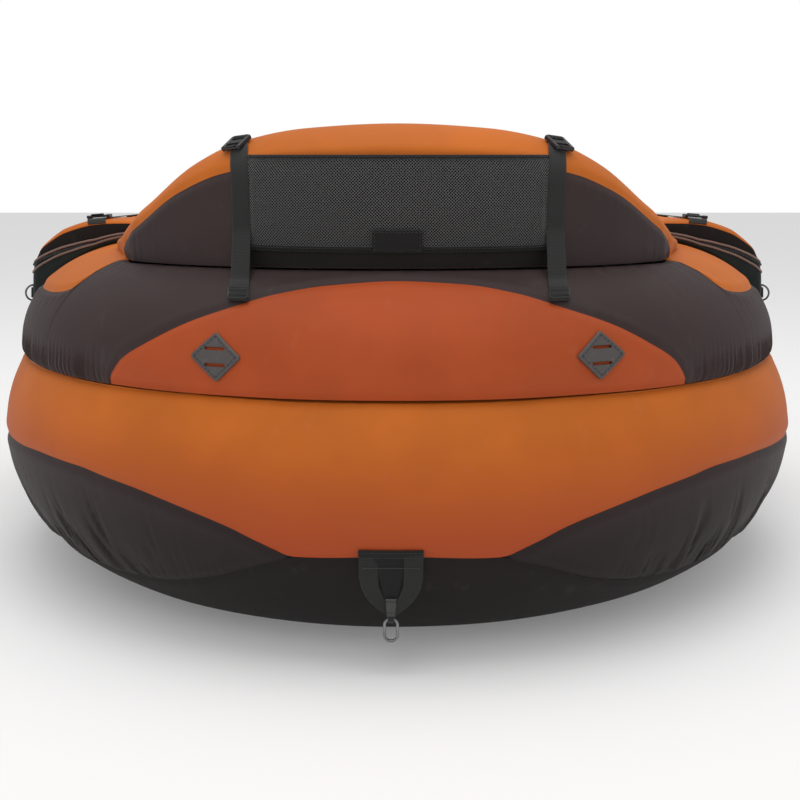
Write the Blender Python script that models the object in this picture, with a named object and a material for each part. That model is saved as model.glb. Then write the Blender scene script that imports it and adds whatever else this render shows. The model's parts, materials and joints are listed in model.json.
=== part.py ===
# Float tube: two stacked U-shaped air tubes, a backrest, a seat and its rigging.
# Metres, +Z up. The stern faces -Y and the open bow +Y; the origin is below the middle, on the floor.
import math
from collections import namedtuple

import bmesh
import bpy
from mathutils import Matrix, Vector

# Fits and cloth
GAP = 0.0003                # between pieces that touch
SLIP = 0.0006               # between a strap or plate and the curved cloth under it
COVER_WALL = 0.0012         # coated cloth
FILM_WALL = 0.0010          # film of the air chambers
OVERRUN = 0.010             # how far a cutter stands out of what it cuts
MERGE = 0.00002             # points closer than this are one
BAG_MERGE = 0.000075        # the same, at the pointed ends of the air chambers

# Hull tube
HULL_RADIUS = 0.193
FLOOR_DENT = 0.003          # how far the floor flattens the tube
STERN_RADIUS = 0.392        # centreline of the stern arc
LEG_LENGTH = 0.865          # from the arc's centre to the nose
TIP_LENGTH = 0.345          # the tapered end of a leg
TIP_RISE = 0.050
TIP_RADIUS = 0.060
NOSE_DEPTH = 0.036
CREASE_HEIGHT = 0.300       # where hull and armrest tube meet, beside the cockpit
CREASE_LIFT = 0.011         # how much higher they meet on the stern
DECK_BLEND_LENGTH = 0.110   # length over which the flat deck turns round again

# Armrest tube
ARM_HEIGHT = 0.145          # above the crease
ARM_WAIST = 0.018           # from the crease up to the widest place
ARM_BULGE = 0.004
ARM_LENGTH = 0.410          # from the arc's centre to the armrest's end
ARM_NOSE = 0.115
ARM_END_DEPTH = 0.012
ARM_FLOOR_LIFT = 0.002      # clear height of the armrest's air chamber over the deck

# Backrest
BACK_RISE = 0.1585          # above the armrest tube
BACK_HALF = 0.055           # half its thickness
BACK_END_HALF = 0.022
BACK_END_HEIGHT = 0.010
BACK_FOOT_LIFT = 0.003      # clear height of the backrest's air chamber over the armrest's crown
SEAM_DROP = 0.038           # from the top down to the seam of the orange panel
PAD_THICK = 0.022
PAD_LIFT = 0.019            # from the armrest tube up to the back cushion

# Webbing and the mesh pocket
WEBBING = 0.025
WEBBING_THICK = 0.0016
STRAP_LEFT = -0.185
STRAP_RIGHT = 0.192
MESH_LIFT = 0.012           # from the armrest tube up to the mesh pocket
MESH_HEIGHT = 0.110
MESH_STANDOFF = 0.0035
MESH_THICK = 0.0010
TAB_WIDTH = 0.056
TAB_HEIGHT = 0.026
LOCK_LENGTH = 0.025
LOCK_WIDTH = 0.034
LOCK_THICK = 0.006
LOCK_SLOT = 0.0035
LOCK_RIM = 0.0042           # from the end of a ladder lock to the middle of its slot

# Lash tabs
LASH_HALF_WIDTH = 0.034
LASH_HALF_HEIGHT = 0.029
LASH_THICK = 0.003
LASH_SLOT_LENGTH = 0.026
LASH_SLOT = 0.0035
LASH_SLOT_SPACING = 0.018
LASH_RISE = 0.054           # above the crease
LASH_LEFT = -0.206
LASH_RIGHT = 0.233

# Tow point
TOW_X = -0.007
TOW_HEIGHT = 0.146
TOW_WIDTH = 0.072
TOW_BAR_HEIGHT = 0.010
TOW_BAR_THICK = 0.0035
TOW_THICK = 0.003
TOW_DROP = 0.076
TOW_NECK = 0.014
TOW_LOOP = 0.005
TOW_LOOP_WALL = 0.0016
RING_PLAY = 0.0016
RING_LENGTH = 0.030
RING_WIDTH = 0.018
RING_WIRE = 0.0034

# Gear pockets on the armrests
POCKET_START = 0.025        # ahead of the stern arc's centre
POCKET_WALL = 0.0020
POCKET_DEPTH = 0.050        # at its thickest
POCKET_SEAT = 0.0105        # height of the zip over the armrest, along the inner side
ZIP_GAP = 0.0006
SLIDER_LENGTH = 0.018
SLIDER_THICK = 0.004
SLIDER_INSET = 0.012        # from the pocket's front end
LID_STRAP_WIDTH = 0.030
DRING_WIDTH = 0.028
DRING_DEPTH = 0.017
DRING_WIRE = 0.003
DRING_PLAY = 0.0006
DRING_START = 0.055         # ahead of the stern arc's centre
DRING_TAB = 0.016
DRING_TAB_WALL = 0.0018

# Seat
SEAT_BEHIND = 0.160         # behind the stern arc's centre
SEAT_LENGTH = 0.330
SLING_THICK = 0.0030
SLING_SAG = 0.022
SEAT_PAD_THICK = 0.052
SEAT_PAD_EDGE = 0.026
SEAT_PAD_MARGIN = 0.016

# Spreader bar
BAR_RADIUS = 0.011
BAR_WALL = 0.0016
BAR_BEHIND = 0.054          # behind the place where a leg starts to taper
BAR_END = 0.012             # from the pivot to the bar's end
BAR_SLACK = 0.004           # from the bar's other end to the cradle's plate
BRACKET_HALF = 0.026
BRACKET_THICK = 0.005
BRACKET_EAR = 0.005
BRACKET_REACH = 0.026       # from the plate to the pivot
BAR_PLAY = 0.0006
PIN_RADIUS = 0.0035
CRADLE_LENGTH = 0.024
CRADLE_WALL = 0.006

# Valves
VALVE_FLANGE = 0.020
VALVE_FLANGE_THICK = 0.003
VALVE_NECK = 0.008
VALVE_BORE = 0.0019
VALVE_NECK_LENGTH = 0.014
VALVE_PLAY = 0.0006
VALVE_CAP = 0.017
VALVE_CAP_THICK = 0.006
VALVE_LUG = 0.010           # width of the cap's hinge
PROBE = 0.001               # step used to find a surface's slope
HULL_VALVE_PLACE = 2        # which stretch of a leg the hull's valves sit on, and which face across the deck
HULL_VALVE_COLUMN = 2
BACK_VALVE_PLACE = 7        # which stretch of BACK_TURNS the backrest's valve sits on

# Seams, as degrees round a tube's section against degrees round the stern arc.
# A section's angle is 0 at its outer side and 90 on top.
ORANGE_SEAM = (
    (0, -15.5), (11.5, -16.4), (17, -11.5), (23, -5), (30, -0.2), (40, 2.5), (52, 4.2), (65, 0), (90, -3),
)
BLACK_SEAM = (
    (0, -15.5), (11.5, -16.4), (17, -26), (23, -33), (30, -38.5), (40, -41.5), (52, -42), (90, -42),
)
CRESCENT_SEAM = ((0, 58.9), (9, 55.9), (16, 49), (22, 39), (28, 28.5), (33, 17), (37, 6.4), (39.5, -7))
SHOULDER_SEAM = ((53, 54), (55, 49), (59, 42.5), (70, 38), (90, 36))
REAR_SEAM_PLACES = ((53.4, -1), (55.5, -1.9), (58, -2))    # where the orange panel takes over the rear face
TEARDROP_TURN = 53
TEARDROP_FULL_TURN = 58
LENS_TURN = 11.5
INNER_SEAM_ANGLE = 118
PAD_TURN = 33               # where the back cushion ends
LOCK_LOW_ANGLE = 44         # the ladder locks lie between these two places on the backrest's top
LOCK_HIGH_ANGLE = 72
STRAP_BACK_ANGLES = (35.4, 26.7, 18, 0, -1)
STRAP_ARM_ANGLES = (58, 50, 42)
BOTTOM_SEAM_ANGLE = -150
FLAT_LEAST_ANGLE = 4        # half the least flat width under the hull
FRONT_CREASE_ANGLE = 38

# Height of the backrest over the armrest tube, as shares of its height at the middle
BACK_OUTLINE_SHARES = (
    (0, 1.0), (16, 0.97), (28, 0.885), (37, 0.74), (47, 0.49), (56, 0.285), (66, 0.11), (78, 0.03), (88, 0),
)

HULL_TURNS = (0, 11.5, 12.4, 17, 23, 30, 40, 52, 65, 78, 90)
ARM_TURNS = (0, 9, 16, 22, 28, 33, 37, 39, 46, 53.4, 55.5, 58, 66, 78, 88, 90)
BACK_TURNS = ARM_TURNS[:-1]
MESH_TURNS = (-22, -16, -9, 0, 9, 16, 22)
# Against degrees, as shares of a gear pocket's depth: its height over the armrest, and how far its zip falls
POCKET_ANGLES = (10, 22, 32, 42, 53, 65, 77, 88)
POCKET_DEPTH_SHARES = ((10, 0.42), (22, 0.60), (32, 0.86), (42, 0.98), (53, 1.0), (65, 1.0), (88, 0.76))
ZIP_FALL_SHARES = ((32, 0.0), (42, 0.45), (53, 0.78), (65, 1.0), (88, 1.0))
BACK_CAP_SHARE = 0.7        # the most of the backrest's height that its rounded top takes
BACK_THIN_SHARE = 0.4       # the height, as a share, below which the backrest grows thinner
BACK_CHAMBER_SHARE = 0.1    # the height, as a share, below which it has no air chamber
SEAM_SHARE = 0.8            # the most of the rounded top that lies above the orange panel's seam
ARM_END_SHARE = 0.7
PAD_EDGE_SHARE = 0.3        # thickness of the back cushion's edge
SLIDER_SHARES = (0.45, 0.9)
LASH_SHARES = (-0.97, -0.5, 0, 0.5, 0.97)
NOSE_CAP_SHARES = ((1, 0), (0.93, 0.38), (0.74, 0.70), (0.40, 0.93))
TIP_SHARES = (0, 0.25, 0.5, 0.7, 0.87, 1.0)
NOSE_SHARES = (0, 0.35, 0.62, 0.82, 0.95)

Station = namedtuple("Station", "side turn ahead")

OVERALL_LENGTH = STERN_RADIUS + HULL_RADIUS + LEG_LENGTH
ARC_Y = STERN_RADIUS + HULL_RADIUS - OVERALL_LENGTH / 2
CROWN_HEIGHT = CREASE_HEIGHT + CREASE_LIFT + ARM_HEIGHT
BACK_TOP = CROWN_HEIGHT + BACK_RISE
PAD_BOTTOM = CROWN_HEIGHT + PAD_LIFT
MESH_BOTTOM = CROWN_HEIGHT + MESH_LIFT
POCKET_REAR = ARC_Y + POCKET_START
POCKET_LENGTH = ARM_LENGTH - ARM_NOSE - POCKET_START
BAR_Y = ARC_Y + LEG_LENGTH - NOSE_DEPTH - TIP_LENGTH - BAR_BEHIND

COLOURS = {
    "orange": ((0.57, 0.165, 0.038), 0.62, 0),
    "crescent": ((0.40, 0.085, 0.035), 0.62, 0),
    "brown": ((0.055, 0.040, 0.040), 0.66, 0),
    "black": ((0.014, 0.012, 0.012), 0.70, 0),
    "film": ((0.42, 0.44, 0.46), 0.35, 0),
    "webbing": ((0.014, 0.014, 0.013), 0.75, 0),
    "mesh": ((0.030, 0.030, 0.030), 0.70, 0),
    "plastic": ((0.012, 0.012, 0.012), 0.38, 0),
    "steel": ((0.35, 0.35, 0.36), 0.30, 1),
    "aluminium": ((0.62, 0.63, 0.65), 0.34, 1),
    "padding": ((0.050, 0.050, 0.052), 0.82, 0),
    "lash": ((0.075, 0.065, 0.062), 0.60, 0),
    "pocket": ((0.020, 0.026, 0.024), 0.68, 0),
}


def clear_scene():
    for thing in list(bpy.data.objects):
        bpy.data.objects.remove(thing, do_unlink=True)


def material(name):
    made = bpy.data.materials.get(name)
    if made is None:
        colour, roughness, metallic = COLOURS[name]
        made = bpy.data.materials.new(name)
        made.use_nodes = True
        shader = made.node_tree.nodes["Principled BSDF"]
        shader.inputs["Base Color"].default_value = (*colour, 1)
        shader.inputs["Roughness"].default_value = roughness
        shader.inputs["Metallic"].default_value = metallic
    return made


def add_object(name, mesh, finish, origin=None, hidden=False):
    made = bpy.data.objects.new(name, mesh)
    bpy.context.scene.collection.objects.link(made)
    mesh.materials.append(material(finish))
    if origin is not None:
        mesh.transform(Matrix.Translation(-Vector(origin)))
        made.location = origin
    if hidden:
        made.hide_render = True
        made.display_type = "WIRE"
    return made


def finish_mesh(name, bm):
    bmesh.ops.remove_doubles(bm, verts=bm.verts, dist=MERGE)
    bmesh.ops.dissolve_degenerate(bm, edges=bm.edges, dist=MERGE)
    bmesh.ops.recalc_face_normals(bm, faces=bm.faces)
    mesh = bpy.data.meshes.new(name)
    bm.to_mesh(mesh)
    bm.free()
    return mesh


def cut(target, cutter):
    change = target.modifiers.new(cutter.name, "BOOLEAN")
    change.operation = "DIFFERENCE"
    change.solver = "EXACT"
    change.object = cutter


def between(table, at):
    if at <= table[0][0]:
        return table[0][1]
    for (low, first), (high, second) in zip(table, table[1:]):
        if at <= high:
            return first + (second - first) * (at - low) / (high - low)
    return table[-1][1]


def smooth(share):
    share = min(max(share, 0), 1)
    return share * share * (3 - 2 * share)


# The path that both tubes follow: a half circle round the stern, then a straight leg on each side
def outward(station):
    turn = math.radians(station.turn)
    return Vector((station.side * math.sin(turn), -math.cos(turn), 0))


def on_path(station, height):
    place = outward(station) * STERN_RADIUS
    return place + Vector((0, ARC_Y + station.ahead, height))


def hull_shape(station):
    """Radius, centre height and deck height of the hull tube."""
    taper = (station.ahead - (LEG_LENGTH - NOSE_DEPTH - TIP_LENGTH)) / TIP_LENGTH
    taper = min(max(taper, 0), 1)
    radius = HULL_RADIUS - (HULL_RADIUS - TIP_RADIUS) * taper ** 2.1
    centre = HULL_RADIUS - FLOOR_DENT + TIP_RISE * taper ** 2
    crease = CREASE_HEIGHT + CREASE_LIFT * math.cos(math.radians(station.turn)) ** 2
    rounding = smooth((station.ahead - ARM_LENGTH) / DECK_BLEND_LENGTH)
    deck = crease + (max(centre + radius, crease) + GAP - crease) * rounding
    return radius, centre, deck


def hull_point(station, angle, inset=0):
    radius, centre, deck = hull_shape(station)
    rise = math.sin(math.radians(angle))
    reach = radius - inset
    if rise > 0:
        reach = min(reach, (deck - inset - centre) / rise)
    if rise < 0:
        reach = min(reach, (inset - centre) / rise)
    level = centre + reach * rise
    return on_path(station, level) + outward(station) * reach * math.cos(math.radians(angle))


def crease_angle(station):
    radius, centre, deck = hull_shape(station)
    share = min((deck - centre) / radius, 1)
    return min(math.degrees(math.asin(share)), FRONT_CREASE_ANGLE)


def spread(low, high, count):
    return [low + (high - low) * i / count for i in range(count)]


BOTTOM = (0, 5)
SIDE = (5, 7)
BAND = (7, 10)
DECK = (10, 15)
INNER = (15, 19)


def hull_ring(station):
    """Section angles of the hull's cloth, from the inner edge of the bottom panel round to it again."""
    orange = between(ORANGE_SEAM, station.turn)
    black = between(BLACK_SEAM, station.turn)
    crease = crease_angle(station)
    radius, centre, deck = hull_shape(station)
    flat = math.degrees(math.acos(min(centre / radius, math.cos(math.radians(FLAT_LEAST_ANGLE)))))
    angles = spread(BOTTOM_SEAM_ANGLE, -90 - flat, 2) + [-90 - flat]
    angles += spread(-90 + flat, black, 2) + spread(black, orange, 2)
    angles += spread(orange, crease, 3) + spread(crease, 180 - crease, 5)
    angles += spread(180 - crease, 180, 2) + spread(180, 360 + BOTTOM_SEAM_ANGLE, 2)
    return angles + [360 + BOTTOM_SEAM_ANGLE]


def arm_shape(station):
    """Half width, height above the waist, waist height and base height of the armrest tube."""
    radius, centre, deck = hull_shape(station)
    base = CREASE_HEIGHT + CREASE_LIFT * math.cos(math.radians(station.turn)) ** 2
    half = math.sqrt(HULL_RADIUS ** 2 - (base - HULL_RADIUS) ** 2) + ARM_BULGE
    nose = min(max((station.ahead - (ARM_LENGTH - ARM_NOSE)) / ARM_NOSE, 0), 1)
    scale = math.sqrt(1 - nose ** 2)
    return half * scale, (ARM_HEIGHT - ARM_WAIST) * scale, base + ARM_WAIST * scale, base


def arm_point(station, angle, inset=0):
    half, rise, waist, base = arm_shape(station)
    across = math.cos(math.radians(angle))
    up = math.sin(math.radians(angle))
    level = waist + (rise - inset) * up
    if up < 0:
        level = max(level, base + GAP)
    return on_path(station, level) + outward(station) * (half - inset) * across


def arm_crease_angle(station):
    half, rise, waist, base = arm_shape(station)
    return -math.degrees(math.asin(min((waist - base - GAP) / rise, 1)))


CRESCENT = (0, 3)
OUTER = (3, 6)
TOP = (6, 13)
COCKPIT = (13, 18)


def foot_angle(station):
    """Where the backrest's rear face stands on the armrest tube."""
    half = back_shape(station)[0]
    return math.degrees(math.acos(half / max(arm_shape(station)[0], half * 2)))


def arm_ring(station):
    crease = arm_crease_angle(station)
    crescent = max(between(CRESCENT_SEAM, station.turn), crease)
    if station.turn > CRESCENT_SEAM[-2][0] + 2:
        crescent = crease
    foot = foot_angle(station)
    end = 180 - crease
    open_share = smooth((station.turn - TEARDROP_TURN) / (TEARDROP_FULL_TURN - TEARDROP_TURN))
    shoulder = foot + (min(between(SHOULDER_SEAM, station.turn), foot) - foot) * open_share
    inner = [180 - foot, (180 - foot + INNER_SEAM_ANGLE) / 2, INNER_SEAM_ANGLE]
    full = spread(shoulder, foot, 3) + [foot, 90] + inner
    top = [foot + (angle - foot) * open_share for angle in full]
    top[0] = shoulder
    plain = [foot, 90] + spread(180 - foot, end, 3) + [end]
    beside = spread(INNER_SEAM_ANGLE, end, 5) + [end]
    cockpit = [low + (high - low) * open_share for low, high in zip(plain, beside)]
    return spread(crease, crescent, 3) + spread(crescent, shoulder, 3) + top[:-1] + cockpit


def back_shape(station):
    """Half thickness, top height and cap height of the backrest."""
    base = arm_shape(station)[3] + ARM_HEIGHT
    share = between(BACK_OUTLINE_SHARES, station.turn)
    top = base + BACK_END_HEIGHT + (BACK_RISE - BACK_END_HEIGHT) * share
    half = BACK_END_HALF + (BACK_HALF - BACK_END_HALF) * min(share / BACK_THIN_SHARE, 1)
    return half, top, min(half, (top - base) * BACK_CAP_SHARE)


def arm_surface_height(station, across):
    half, rise, waist, base = arm_shape(station)
    return waist + rise * math.sqrt(1 - (across / half) ** 2)


BACK_REAR = (0, 3)
BACK_CAP = (3, 11)
BACK_FRONT = (11, 14)


def back_ring(station):
    """Places round the backrest: below 0 on the rear face, 0 to 180 over the cap, above 180 on the front."""
    half, top, cap = back_shape(station)
    drop = min(SEAM_DROP, cap * SEAM_SHARE)
    front = math.degrees(math.asin(1 - drop / cap))
    seam = front
    beside = spread(seam, LOCK_LOW_ANGLE, 3)
    lower = [-2, -1, 0]
    if station.turn >= REAR_SEAM_PLACES[0][0]:
        seam = between(REAR_SEAM_PLACES, station.turn)
        beside = [seam, seam / 2, 0]
        lower = spread(-2, seam, 3)
    top = [LOCK_LOW_ANGLE, LOCK_HIGH_ANGLE, 90, 180 - LOCK_HIGH_ANGLE, 180 - LOCK_LOW_ANGLE]
    return lower + beside + top + [180 - front, 180, 181, 182]


def back_point(station, place, inset=0):
    half, top, cap = back_shape(station)
    if 0 <= place <= 180:
        across = (half - inset) * math.cos(math.radians(place))
        level = top - cap + (cap - inset) * math.sin(math.radians(place))
    else:
        down = -place if place < 0 else place - 180
        across = (half - inset) * (1 if place < 0 else -1)
        foot = arm_surface_height(station, across) + GAP + inset
        level = top - cap + (foot - (top - cap)) * down / 2
    return on_path(station, level) + outward(station) * across


# Cloth panels and air chambers
def stations(turns, aheads, sides=(-1, 1)):
    """Stations from the left bow round the stern to the right bow, or one side of them."""
    half = [Station(1, turn, 0) for turn in turns] + [Station(1, 90, ahead) for ahead in aheads]
    right = [Station(1, s.turn, s.ahead) for s in half]
    left = [Station(-1, s.turn, s.ahead) for s in reversed(half)]
    if sides == (1,):
        return right
    if sides == (-1,):
        return left
    return left[:-1] + right if turns[0] == 0 else left + right


def shift(points, amount):
    """Moves the ends of a row of points inwards along it, which leaves room for the neighbour."""
    first = points[0] + (points[1] - points[0]).normalized() * amount
    last = points[-1] + (points[-2] - points[-1]).normalized() * amount
    return [first] + points[1:-1] + [last]


def grid_faces(bm, rows, flip=False):
    for row, following in zip(rows, rows[1:]):
        for i in range(len(row) - 1):
            corners = [row[i], row[i + 1], following[i + 1], following[i]]
            halves = ((corners[0], corners[1], corners[2]), (corners[0], corners[2], corners[3]))
            for corner in halves:
                bm.faces.new(reversed(corner) if flip else corner)


def cloth_panel(name, point, ring, line, columns, finish, wall=COVER_WALL, inset=0):
    """A sewn panel: the part of a section between two seams, carried along the stations of a line."""
    bm = bmesh.new()
    outer, inner = [], []
    for station in line:
        angles = ring(station)[columns[0]:columns[1] + 1]
        near = shift([point(station, angle, inset) for angle in angles], GAP / 2)
        far = shift([point(station, angle, inset + wall) for angle in angles], GAP / 2)
        outer.append([bm.verts.new(place) for place in near])
        inner.append([bm.verts.new(place) for place in far])
    grid_faces(bm, outer)
    grid_faces(bm, inner, flip=True)
    grid_faces(bm, [[row[0] for row in outer], [row[0] for row in inner]])
    grid_faces(bm, [[row[-1] for row in outer], [row[-1] for row in inner]], flip=True)
    grid_faces(bm, [outer[0], inner[0]], flip=True)
    grid_faces(bm, [outer[-1], inner[-1]])
    return add_object(name, finish_mesh(name, bm), finish)


def close_loop(bm, loop, flip):
    middle = sum((vert.co for vert in loop), Vector()) / len(loop)
    hub = bm.verts.new(middle)
    for first, second in zip(loop, loop[1:] + loop[:1]):
        corner = (first, second, hub)
        bm.faces.new(reversed(corner) if flip else corner)


def air_chamber(name, sections, finish="film"):
    """A closed hollow bag from pairs of outer and inner loops."""
    bm = bmesh.new()
    for loops, flip in ((sections[0], True), (sections[1], False)):
        rows = [[bm.verts.new(place) for place in loop] for loop in loops]
        closed = [row + [row[0]] for row in rows]
        grid_faces(bm, closed, flip)
        close_loop(bm, rows[0], not flip)
        close_loop(bm, rows[-1], flip)
    bmesh.ops.remove_doubles(bm, verts=bm.verts, dist=BAG_MERGE)
    bmesh.ops.dissolve_degenerate(bm, edges=bm.edges, dist=BAG_MERGE)
    mesh = bpy.data.meshes.new(name)
    bm.to_mesh(mesh)
    bm.free()
    return add_object(name, mesh, finish)


def chamber_loops(point, ring, line, inset, base):
    """Outer and inner loops of an air chamber; the inner ones stop one wall short of its ends."""
    outer, inner = [], []
    for loops, wall in ((outer, 0), (inner, FILM_WALL)):
        for station in line:
            loop = [point(station, angle, inset + wall) for angle in ring(station)]
            loops.append(base(station, loop, wall))
    for end, beside in ((0, 1), (-1, -2)):
        step = (sum(inner[beside], Vector()) - sum(inner[end], Vector())) / len(inner[end])
        nudge = step.normalized() * FILM_WALL
        inner[end] = [place + nudge for place in inner[end]]
    return outer, inner


def round_base(station, loop, wall):
    return loop[:-1]


def hull_aheads():
    start = LEG_LENGTH - NOSE_DEPTH - TIP_LENGTH
    middle = [ARM_LENGTH, ARM_LENGTH + DECK_BLEND_LENGTH / 2]
    return sorted(middle + [start + TIP_LENGTH * share for share in TIP_SHARES])


def make_hull():
    aheads = hull_aheads()
    line = stations(HULL_TURNS, aheads)
    cloth_panel("hull_bottom_panel", hull_point, hull_ring, line, BOTTOM, "black")
    cloth_panel("hull_band_panel", hull_point, hull_ring, line, BAND, "orange")
    cloth_panel("hull_deck_panel", hull_point, hull_ring, line, DECK, "orange")
    cloth_panel("hull_inner_panel", hull_point, hull_ring, line, INNER, "black")
    lens = [turn for turn in HULL_TURNS if turn > LENS_TURN]
    for side, label in ((-1, "left"), (1, "right")):
        edge = stations(lens, aheads, (side,))
        cloth_panel(f"hull_side_panel_{label}", hull_point, hull_ring, edge, SIDE, "brown")
        chamber_line = stations(HULL_TURNS, aheads, (side,))
        outer, inner = chamber_loops(hull_point, hull_ring, chamber_line, COVER_WALL + GAP, round_base)
        middle = 0 if side > 0 else -1
        apart = Vector((side * GAP / 2, 0, 0))
        outer[middle] = [place + apart for place in outer[middle]]
        air_chamber(f"hull_chamber_{label}", (outer, inner))
        make_nose_cap(f"nose_cap_{label}", side, aheads[-1])


def make_nose_cap(name, side, ahead):
    """A rounded cap that closes the end of a leg."""
    station = Station(side, 90, ahead)
    radius, centre, deck = hull_shape(station)
    start = on_path(station, centre) + Vector((0, GAP, 0))
    bm = bmesh.new()
    count = 16
    rows = []
    for narrowing, share in NOSE_CAP_SHARES:
        reach = radius * narrowing
        row = []
        for i in range(count):
            angle = 2 * math.pi * i / count
            step = Vector((reach * math.cos(angle), share * (NOSE_DEPTH - GAP), reach * math.sin(angle)))
            row.append(bm.verts.new(start + step))
        rows.append(row + [row[0]])
    grid_faces(bm, rows)
    tip = bm.verts.new(start + Vector((0, NOSE_DEPTH - GAP, 0)))
    for first, second in zip(rows[-1], rows[-1][1:]):
        bm.faces.new((first, second, tip))
    back = bm.verts.new(start + Vector((0, COVER_WALL, 0)))
    for first, second in zip(rows[0], rows[0][1:]):
        bm.faces.new((second, first, back))
    add_object(name, finish_mesh(name, bm), "black")


def arm_aheads(last=len(NOSE_SHARES)):
    start = ARM_LENGTH - ARM_NOSE
    return [start + ARM_NOSE * share for share in NOSE_SHARES[:last]]


def make_armrests():
    aheads = arm_aheads()
    line = stations(ARM_TURNS, aheads)
    cloth_panel("armrest_outer_panel", arm_point, arm_ring, line, OUTER, "brown")
    cloth_panel("armrest_inner_panel", arm_point, arm_ring, line, COCKPIT, "black")
    below = stations([turn for turn in ARM_TURNS if turn < CRESCENT_SEAM[-1][0]], [])
    cloth_panel("stern_crescent_panel", arm_point, arm_ring, below, CRESCENT, "crescent")
    crest = [turn for turn in ARM_TURNS if turn > TEARDROP_TURN]
    for side, label in ((-1, "left"), (1, "right")):
        edge = stations(crest, aheads, (side,))
        cloth_panel(f"armrest_top_panel_{label}", arm_point, arm_ring, edge, TOP, "orange")
        make_arm_end(f"armrest_end_panel_{label}", side, aheads[-1])
    outer, inner = chamber_loops(arm_point, arm_ring, line, COVER_WALL + GAP, arm_base)
    air_chamber("armrest_chamber", (outer, inner))


def arm_base(station, loop, wall):
    """Lowers the edges of the armrest chamber onto the deck."""
    level = arm_shape(station)[3] + ARM_FLOOR_LIFT + wall
    ends = [Vector((place.x, place.y, level)) for place in (loop[0], loop[-1])]
    return ends[:1] + loop[1:-1] + ends[1:]


def make_arm_end(name, side, ahead):
    """The small cloth panel that closes the front of an armrest."""
    station = Station(side, 90, ahead)
    ring = arm_ring(station)
    bm = bmesh.new()
    near = [arm_point(station, angle) + Vector((0, GAP, 0)) for angle in ring]
    base = [bm.verts.new(place) for place in near]
    middle = sum(near, Vector()) / len(near)
    rim = []
    for place in near:
        closer = middle + (place - middle) * ARM_END_SHARE
        closer.z = max(closer.z, near[0].z)
        rim.append(bm.verts.new(closer + Vector((0, ARM_END_DEPTH, 0))))
    grid_faces(bm, [base + [base[0]], rim + [rim[0]]])
    close_loop(bm, base, True)
    close_loop(bm, rim, False)
    add_object(name, finish_mesh(name, bm), "orange")


def make_backrest():
    line = stations(BACK_TURNS, [])
    covered = stations([turn for turn in BACK_TURNS if turn < REAR_SEAM_PLACES[-1][0]], [])
    cloth_panel("backrest_rear_panel", back_point, back_ring, covered, BACK_REAR, "brown")
    cloth_panel("backrest_top_panel", back_point, back_ring, line, BACK_CAP, "orange")
    cloth_panel("backrest_front_panel", back_point, back_ring, line, BACK_FRONT, "black")
    tall = [turn for turn in BACK_TURNS if between(BACK_OUTLINE_SHARES, turn) > BACK_CHAMBER_SHARE]
    inside = stations(tall, [])
    outer, inner = chamber_loops(back_point, back_ring, inside, COVER_WALL + GAP, back_base)
    air_chamber("backrest_chamber", (outer, inner))
    make_back_pad()


def back_base(station, loop, wall):
    """Raises the foot of the backrest chamber clear of the armrest's crown."""
    rise = Vector((0, 0, BACK_FOOT_LIFT + wall))
    crown = on_path(station, arm_surface_height(station, 0) + GAP)
    return [loop[0] + rise] + loop[1:-1] + [loop[-1] + rise, crown + rise]


def make_back_pad():
    """A foam cushion on the front of the backrest, crowned between its corners."""
    turns = [turn for turn in BACK_TURNS if turn <= PAD_TURN]
    levels = 5
    bm = bmesh.new()
    front, rear = [], []
    for station in stations(turns, []):
        half, top, cap = back_shape(station)
        edge = 1 - (station.turn / turns[-1]) ** 4
        skin = []
        for i in range(levels):
            level = PAD_BOTTOM + (top - cap - PAD_BOTTOM) * i / (levels - 1)
            skin.append(on_path(station, level) - outward(station) * half)
        skin.append(back_point(station, back_ring(station)[BACK_CAP[1]]))
        faces, backs = [], []
        for i, place in enumerate(skin):
            swell = (1 - (2 * i / levels - 1) ** 4) * edge
            thick = PAD_THICK * (PAD_EDGE_SHARE + (1 - PAD_EDGE_SHARE) * swell)
            backs.append(place - outward(station) * SLIP)
            faces.append(backs[-1] - outward(station) * thick)
        front.append([bm.verts.new(place) for place in faces])
        rear.append([bm.verts.new(place) for place in backs])
    grid_faces(bm, front)
    grid_faces(bm, rear, flip=True)
    grid_faces(bm, [[row[0] for row in front], [row[0] for row in rear]])
    grid_faces(bm, [[row[-1] for row in front], [row[-1] for row in rear]], flip=True)
    grid_faces(bm, [front[0], rear[0]], flip=True)
    grid_faces(bm, [front[-1], rear[-1]])
    add_object("back_cushion", finish_mesh("back_cushion", bm), "padding")


# Placing rigging on the cloth
def moved(station, step):
    if station.turn < 90:
        return Station(station.side, station.turn + math.degrees(step / STERN_RADIUS), station.ahead)
    return Station(station.side, station.turn, station.ahead + step)


def skin_frame(point, station, angle, lift=0, nudge=0.5):
    """A frame on the skin: X along the tube, Y up the section and Z out of the skin."""
    place = point(station, angle)
    along = (point(moved(station, PROBE), angle) - place).normalized()
    up = (point(station, angle + nudge) - point(station, angle - nudge)).normalized()
    normal = along.cross(up).normalized()
    if normal.dot(place - point(station, angle, PROBE)) < 0:
        normal = -normal
    up = normal.cross(along)
    place = place + normal * lift
    return Matrix.Translation(place) @ Matrix((along, up, normal)).transposed().to_4x4()


def station_at(x, reach):
    """The station on the stern where the tube's skin, at that reach from the arc's centre, has this x."""
    turn = math.degrees(math.asin(abs(x) / reach))
    return Station(-1 if x < 0 else 1, turn, 0)


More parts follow.
